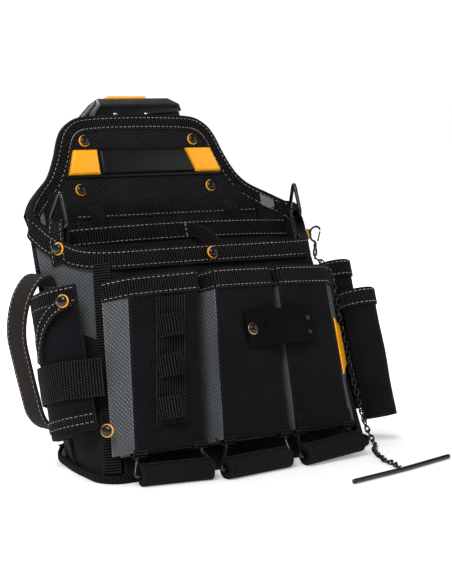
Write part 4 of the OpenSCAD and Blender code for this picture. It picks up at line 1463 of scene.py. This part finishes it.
@dataclass
class FrontPocket:
    """A tall front pocket: its face, gussets, webbing, bail and webbing roll."""

    name: str
    tops: Sequence[tuple[float, float]]
    feet: Sequence[tuple[float, float]]
    roll: Sequence[Point]
    high: float = 156.0
    low: float = -10.0
    wire: float = 4.0
    roll_thick: float = 20.0

    def corner(self, k: float, z: float) -> np.ndarray:
        """A corner of the pocket's outline at a height, counted from rear left."""
        t = (z - self.low) / (self.high - self.low)
        i = min(int(k), 2)
        top, foot = (mixed(row[i], row[i + 1], k - i) for row in (self.tops, self.feet))
        return np.array([*mixed(foot, top, t), z])

    def row(self, z: float, *corners: float) -> np.ndarray:
        """Corners of the outline at a height, in metres."""
        return body([self.corner(k, z) for k in corners])

    def face(self) -> Loft:
        """The front."""
        rows = [self.row(z, 1, 1.5, 2) for z in (self.low, 40, 95, self.high)]
        return Loft(rows, 1.8, 0.9, seed=len(self.name), scale=0.08)

    def shell(self) -> list[Object]:
        """Makes the face and returns the grey gussets."""
        dress(cloth(f"{self.name}_face", self.face(), (36, 70), 2.0), "pocket_twill", self.name)
        section = [(-1.5, -9.4), (1.9, -8.4), (2.9, -4), (2.9, 2), (1.6, 7.4), (0.2, 8.6)]
        hem = Band(Route(self.row(self.low + 7, 1, 1.5, 2)), section, up=RISE, corner=None)
        dress(cloth(f"{self.name}_hem", hem, (34, 14), 1.2), "pocket_twill")
        gussets = []
        for a, b in ((0, 1), (2, 3)):
            steps = [(k, (0, 1.6 if k in (1, 2) else 0, 0)) for k in (a, (a + b) / 2, b)]
            rows = [body([self.corner(k, z) + back for k, back in steps]) for z in (self.low, 70, self.high)]
            gussets.append(cloth(f"gusset_{a}", Loft(rows, 0.0, 1.3, seed=20 + a), (14, 60), 2.0))
        foot = [self.corner(k, self.low) for k in (0, 1, 2, 3)]
        front = body([foot[1] + (5, 3.4, 0.2), foot[2] + (-5, 3.4, 0.2)])
        back = body([foot[0] + (8, -1, 0.2), foot[3] + (-9, -3.5, 0.2)])
        gussets.append(cloth("sole", Loft([front, back]), (12, 6), 2.0))
        return gussets

    def webbing(self) -> tuple[Object, list[Seam]]:
        """Makes the webbing round the pocket's top and places its seams."""
        z = self.high - 10
        stand = {0: (0, 0, 0), 1: (-0.6, -0.8, 0), 1.5: (0, -1.8, 0), 2: (0.6, -0.8, 0), 3: (0, 0, 0)}
        line = Route(body([self.corner(k, z) + out for k, out in stand.items()]), 0.006)
        band, seams = hemmed(line, (-10, 10.4), 2.0, (-7.4, 7.0), 0.01)
        return cloth(f"{self.name}_webbing", band, (100, 12), 1.2), seams

    def bail(self) -> tuple[list[Object], list[Object]]:
        """Makes the wire bail.

        Returns:
            The roll on its bar, and the tabs it hangs from.
        """
        a, b = (
            floor(turned([self.corner(k, self.low)]) + (dx, 1.5, -6.5))[0] for k, dx in ((1, 2), (2, -2))
        )
        ends = floor(self.roll)
        across = unit(ends[1] - ends[0])
        hook = np.array([0, 0, 4.5]) * MM
        turn_in = across * 3 * MM
        points = [a + hook + turn_in, a + hook * 0.8, a - hook * 0.4, *ends]
        points += [b - hook * 0.4, b + hook * 0.8, b + hook - turn_in]
        line, up = Route(points, 0.004), np.cross(across, UP)
        bail = wire(f"{self.name}_bail", line, self.wire, (120, 14), up=up)
        dress(bail, "black_steel", self.name.replace("front_pocket", "bail"))
        start, stop = ends[0] + across * 6 * MM, ends[1] - across * 6 * MM
        turn = np.linspace(0, 1, 70)
        angle = -2 * math.pi * 3.1 * turn + 2.2
        radius = 2.6 + (self.roll_thick / 2 - 2.7) * turn**0.8
        section = [(r * math.cos(g), r * math.sin(g)) for r, g in zip(radius, angle)]
        spiral = Band(Route([start, stop]), section, up=UP, corner=0.0)
        fold_back = unit(np.cross(UP, across))
        fold_back *= math.copysign(MM, fold_back[1])
        tabs = []
        for k, (place, way) in enumerate(((a, 2.0), (b, -2.0))):
            path = [place + across * way * MM + fold_back * y + np.array([0, 0, z]) * MM
                    for y, z in ((10, 6.0), (4, 2.8), (0, 1.5), (-3.3, 4.0), (-3.6, 9.5))]
            tabs.append(cloth(f"tab_{k}", Band(Route(path), flat(13), up=across), (26, 6), 1.3))
        return [cloth("roll", spiral, (30, 120), 1.5)], tabs


@dataclass
class PocketFittings:
    """What is sewn and riveted to the front pockets: bit loops, tape clip and tag."""

    left: FrontPocket
    right: FrontPocket
    strip: float = 30.0
    strip_top: tuple[float, float] = (-85.0, 133.0)
    strip_foot: tuple[float, float] = (-107.0, 12.0)
    clip_from: tuple[float, float] = (5.0, -138.5)
    clip_to: tuple[float, float] = (90.0, -132.0)
    clip_foot: float = 75.0
    clip_tall: float = 36.0

    def on_strip(self, x: float, z: float, out: float = 0.0) -> np.ndarray:
        """A point across the bit strip at a height, standing out from the pocket."""
        t = (z - self.strip_foot[1]) / (self.strip_top[1] - self.strip_foot[1])
        left = self.strip_foot[0] * (1 - t) + self.strip_top[0] * t
        a, b = self.left.corner(1, z), self.left.corner(2, z)
        p = mixed(a, b, (left + x - a[0]) / (b[0] - a[0]))
        return p - (0, out, 0)

    def bits(self) -> None:
        """The strip of bit loops."""
        rows = [body([self.on_strip(x, z, 2.8) for x in (0, self.strip / 2, self.strip)])
                for z in (self.strip_foot[1], 52, 93, self.strip_top[1])]
        strip = Loft(rows)
        dress(cloth("bit_strip", strip, (12, 60), 1.2), "webbing", "bit_loop_strip")
        loops = []
        for k, middle in enumerate((26, 66, 104)):
            share = np.linspace(0, 1, 13)
            out = 3.0 + 13 * np.sin(math.pi * share) ** 0.7
            across = 1.5 + (self.strip - 3) * share
            line = Route(body([self.on_strip(x, middle, o) for x, o in zip(across, out)]))
            band = Band(line, [(0, -10.5), (0.5, 0), (0, 10.5)], up=RISE, corner=None)
            loops.append(cloth(f"bit_loop_{k}", band, (34, 12), 1.5))
        dress(joined("bit_loop_webbing", loops), "ribbed_webbing", "bit_loops")

    def clip(self) -> None:
        """The tape clip and its rivets."""
        a, b = np.array(self.clip_from), np.array(self.clip_to)
        along, long = (b - a) / np.linalg.norm(b - a), float(np.linalg.norm(b - a))
        out = np.array([along[1], -along[0]])
        middle = self.clip_foot + self.clip_tall / 2

        def spot(x: float, y: float, z: float = middle) -> Point:
            """A point along the clip, in front of its line."""
            return (*(a + along * x - out * y), z)

        path = [
            (0, 1.0), (19.5, 1.0), (21.5, -0.6), (22.5, -3.4), (25, -4.4), (long * 0.55, -4.9),
            (long - 18, -4.4), (long - 15.5, -3.4), (long - 14.5, -0.6), (long - 12.5, 1.0), (long, 1.0),
        ]
        line = Route(body([spot(x, y) for x, y in path]), 0.002)
        band = Band(line, flat(self.clip_tall), up=RISE)
        dress(cloth("tape_clip_bridge", band, (90, 10), 1.6, 0.4), "clip_steel", "tape_clip")
        facing = turned([(*out, 0)])[0]
        across = turned([(*along, 0)])[0]
        cap = [(4.4, 0.8), (5.2, 1.6), (5.0, 2.6), (3.6, 3.5), (1.6, 3.9), (0.2, 4.0)]
        pin = [(2.6, 0.0), (2.4, 0.7), (1.4, 1.2), (0.2, 1.3)]
        collar = [(6.2, 0.0), (6.2, 0.5), (5.8, 0.95), (4.4, 1.0)]
        left_end = standing_on(body([spot(8, 1.0)]), across[None], facing[None])
        spots = body([spot(long - 7, 1.0, self.clip_foot + self.clip_tall * h) for h in (0.3, 0.7)])
        right_end = standing_on(spots, np.tile(across, (2, 1)), np.tile(facing, (2, 1)))
        heads = [
            stamped("head", lathe("cap", cap), left_end),
            stamped("pins", lathe("pin", pin, 16), right_end),
        ]
        dress(joined("tape_clip_heads", heads), "black_steel")
        ring = stamped("tape_clip_collar", lathe("ring", collar), left_end)
        dress(ring, "brass", "tape_clip_rivets")

    def tag(self) -> None:
        """The blank tag on the right pocket's side."""
        def on_side(t: float, z: float) -> Point:
            """A point on the pocket's right gusset."""
            return mixed(self.right.corner(2, z), self.right.corner(3, z), t)

        rows = [body([on_side(0.02, 40), on_side(0.98, 52)]), body([on_side(0.02, 99), on_side(0.92, 91)])]
        leaf = cloth("side_tag_leaf", Lifted(Loft(rows), (0, 1), (0, 1), 2.6), (6, 8), 1.2, 0.3)
        dress(leaf, "orange_plastic", "side_tag")

    def build(self) -> None:
        """Makes the fittings."""
        self.bits()
        self.clip()
        self.tag()


@dataclass
class LeftSide:
    """The hammer loop, side pocket, elastic and sling on the left."""

    loop_wide: float = 28.0
    pocket_foot: float = 18.0
    pocket_top: float = 158.0

    def row(self, z: float) -> np.ndarray:
        """The side pocket's outline at a height."""
        t = (self.pocket_top - z) / (self.pocket_top - self.pocket_foot)
        plan = [(-158.5, -22), (-172, -38), (-176, -58), (-170, -80), (-152, -99)]
        return body([(x - 3 * t, y - 6 * t, z) for x, y in plan])

    def loop(self) -> None:
        """The hammer loop."""
        path = [
            (-152, 174), (-158, 184), (-168, 183), (-179, 170), (-186, 150), (-188, 125), (-182.5, 97),
            (-175, 66), (-168, 43), (-157, 31), (-143, 28),
        ]
        line = Route(floor([(x, 16, z) for x, z in path]))
        half = self.loop_wide / 2
        band = Band(line, [(0, -half), (0.5, 0), (0, half)], up=(0.26, -0.966, 0), corner=None)
        dress(cloth("hammer_loop_strap", band, (120, 14), 2.6, 0.5), "strap", "hammer_loop")
        dress(stitched("hammer_loop_stitches", straight(band, 0.1, 0.9, margin=0.01)), "thread")

    def pocket(self) -> None:
        """The side pocket and its webbing."""
        wall = Loft([self.row(z) for z in (self.pocket_foot, 65, 112, self.pocket_top)], 0.6, 1.0, seed=31)
        low = self.pocket_foot + 1
        sole = Loft([self.row(low)[:4], body([(-157, y, low) for y in (-28, -44, -64, -86)])])
        parts = [cloth("wall", wall, (40, 60), 2.0), cloth("sole", sole, (16, 6), 2.0)]
        dress(joined("side_pocket_cloth", parts), "pocket_twill", "side_pocket")
        top, seams = hemmed(Route(self.row(self.pocket_top - 9)), (-9, 9.4), 2.0, (-6.4, 6.0), 0.02)
        section = [(0.2, -6), (1.5, -5.6), (1.5, 5.6), (0.2, 6)]
        foot = Band(Route(self.row(self.pocket_foot + 11)), section, up=RISE)
        bands = [cloth("top", top, (50, 12), 1.2), cloth("foot", foot, (50, 8), 1.2)]
        dress(joined("side_pocket_edges", bands), "webbing", "side_pocket_webbing")
        dress(stitched("side_pocket_stitches", seams + straight(foot, 0.22, 0.78, margin=0.02)), "thread")

    def bands(self) -> None:
        """The wide elastic and the sling."""
        path = [
            (-160, -16, 70), (-174, -37, 70), (-180.5, -60, 69), (-174, -86, 68), (-157, -104, 66),
            (-145, -113, 65),
        ]
        section = [(2.0, -18), (2.5, -9), (2.3, 0), (2.6, 9), (2.0, 18)]
        wide = Band(Route(body(path)), section, up=RISE, corner=None)
        dress(cloth("elastic_strap", wide, (70, 18), 1.7), "ribbed_webbing", "elastic_band")
        path = [(-181.5, -60, 90), (-183, -68, 108), (-181, -77, 124), (-174, -90, 136), (-162, -103, 142)]
        sling = Band(Route(body(path)), flat(12, 2.3), up=RISE)
        dress(cloth("sling", sling, (40, 6), 1.3), "webbing", "sling_strap")
        dress(stitched("sling_stitches", straight(sling, 0.2, 0.8, margin=0.02), 4.4, 3.0), "thread")

    def build(self) -> None:
        """Makes the left side."""
        self.loop()
        self.pocket()
        self.bands()


@dataclass
class RightSide:
    """The two tool sleeves and the snap on the right."""

    wall: float = 2.2

    def circle(self, x: float, y: float, r: float, z: float, count: int = 32) -> np.ndarray:
        """A ring of points, starting next to the pouch and running round the front."""
        angle = np.linspace(math.pi, 3 * math.pi, count + 1)
        return body([(x + r * math.cos(a), y + r * math.sin(a), z) for a in angle])

    def sleeves(self) -> None:
        """The cloth tubes and the webbing round their mouths."""
        bands, seams = [], []
        squeeze = (0.0, -0.5, 0.3, -0.4, 0.0)
        tubes = {"upper": (174, -66, 17.5, 8, 166), "lower": (169.6, -104, 18, -7, 127)}
        for name, (x, y, r, foot, top) in tubes.items():
            heights = np.linspace(foot, top, 5)
            rows = [self.circle(x, y, r + d, z) for z, d in zip(heights, squeeze)]
            obj = cloth(f"{name}_sleeve_tube", Loft(rows, 0.0, 0.7, seed=int(r)), (56, 50), self.wall)
            dress(obj, "pocket_twill", f"{name}_sleeve")
            line = Route(self.circle(x, y, r + 0.1, top - 8)[:-1], closed=True)
            band, rows = hemmed(line, (-9, 9.2), 2.3, (-6.6, 6.0), 0.0)
            bands.append(cloth(f"{name}_mouth", band, (64, 12), 1.2))
            seams += rows
        dress(joined("sleeve_mouth_webbing", bands), "webbing", "sleeve_webbing")
        dress(stitched("sleeve_stitches", seams), "thread")

    def snap(self) -> None:
        """The snap that holds the chain."""
        at = np.array([134.5, -31, 195.0])
        turn = math.radians(35)
        side = np.array([math.cos(turn), math.sin(turn), 0])
        angle = np.linspace(0, 2 * math.pi, 16, endpoint=False)
        circle = [at + 4.2 * (math.cos(a) * side + math.sin(a) * np.array(UP)) for a in angle]
        across = (-math.sin(turn), math.cos(turn), 0)
        ring = wire("ring", Route(floor(circle), closed=True), 2.4, (32, 12), up=across)
        profile = [(1.5, 4.6), (1.9, 5.2), (1.9, 9.2), (1.4, 9.6), (1.4, 10.0), (1.8, 10.5), (1.2, 11.4)]
        upright = standing_on(floor([at]), np.array([[1.0, 0, 0]]), np.array([UP]))
        barrel = stamped("barrel", lathe("barrel", profile, 16), upright)
        bends = [
            (0, 0, 11), (-3.4, 2.0, 13.4), (-4.5, 2.6, 18.5), (-3.8, 2.2, 24), (-0.2, 0.1, 27),
            (3.2, -1.8, 26), (4.3, -2.5, 23.5),
        ]
        hook = wire("hook", Route(floor([at + p for p in bends])), 2.4, (44, 12), up=(0.5, 0.86, 0))
        dress(joined("snap_body", [ring, barrel, hook]), "black_steel", "snap_hook")
        dress(frame["nodes"]["snap_gate"], "black_steel")

    def build(self) -> None:
        """Makes the right side."""
        self.sleeves()
        self.snap()


POCKETS = (
    FrontPocket(
        "front_pocket_left",
        tops=[(-128, -105.5), (-108, -124), (-37, -134), (-32, -105.5)],
        feet=[(-146, -106.5), (-130, -124), (-62, -134), (-52, -106)],
        roll=[(-134, -126, 10), (-53, -139, 10)],
    ),
    FrontPocket(
        "front_pocket_center",
        tops=[(-29, -106), (-18, -136), (51, -128), (55, -106)],
        feet=[(-49, -106), (-40, -136), (36, -130), (43, -106)],
        roll=[(-53, -147, 10), (34, -137, 10)],
    ),
    FrontPocket(
        "front_pocket_right",
        tops=[(58, -105.5), (60, -128), (125, -115), (143, -97)],
        feet=[(46, -106), (47, -130), (119, -120), (138, -102)],
        roll=[(40, -143, 10), (122, -136, 15)],
    ),
)


def front_pockets() -> None:
    """Makes the three front pockets and what they share."""
    gussets, bands, seams, rolls, tabs = [], [], [], [], []
    for pocket in POCKETS:
        gussets += pocket.shell()
        band, rows = pocket.webbing()
        bands.append(band)
        seams += rows
        roll, hangers = pocket.bail()
        rolls += roll
        tabs += hangers
    dress(joined("pocket_side_walls", gussets), "grey_weave", "pocket_gussets")
    dress(joined("pocket_edges", bands), "webbing", "pocket_webbing")
    dress(stitched("pocket_stitches", seams), "thread")
    dress(joined("bail_webbing_rolls", rolls), "roll_webbing", "bail_rolls")
    dress(joined("bail_tab_webbing", tabs), "webbing", "bail_tabs")
    PocketFittings(POCKETS[0], POCKETS[2]).build()


def strap_rings() -> None:
    """Makes both strap rings and their tabs."""
    made = [StrapRing(side).build() for side in ("left", "right")]
    dress(joined("ring_tab_webbing", [tab for tab, _ in made]), "webbing", "ring_tabs")
    seams = [s for _, band in made for s in straight(band, 0.14, 0.86, margin=0.02)]
    dress(stitched("ring_tab_stitches", seams), "thread")


def main() -> None:
    """Builds the scene, the camera and the chain first."""
    logging.basicConfig(level=logging.INFO, format="%(name)s %(message)s")
    studio = Studio()
    studio.camera()
    Chain().build()
    studio.build()
    for part in (Board(), Walls(), Hub(), NamePlate(), Rivets(), InnerPockets()):
        LOG.info("building %s", type(part).__name__)
        part.build()
    strap_rings()
    front_pockets()
    LeftSide().build()
    RightSide().build()


if __name__ == "__main__":
    main()
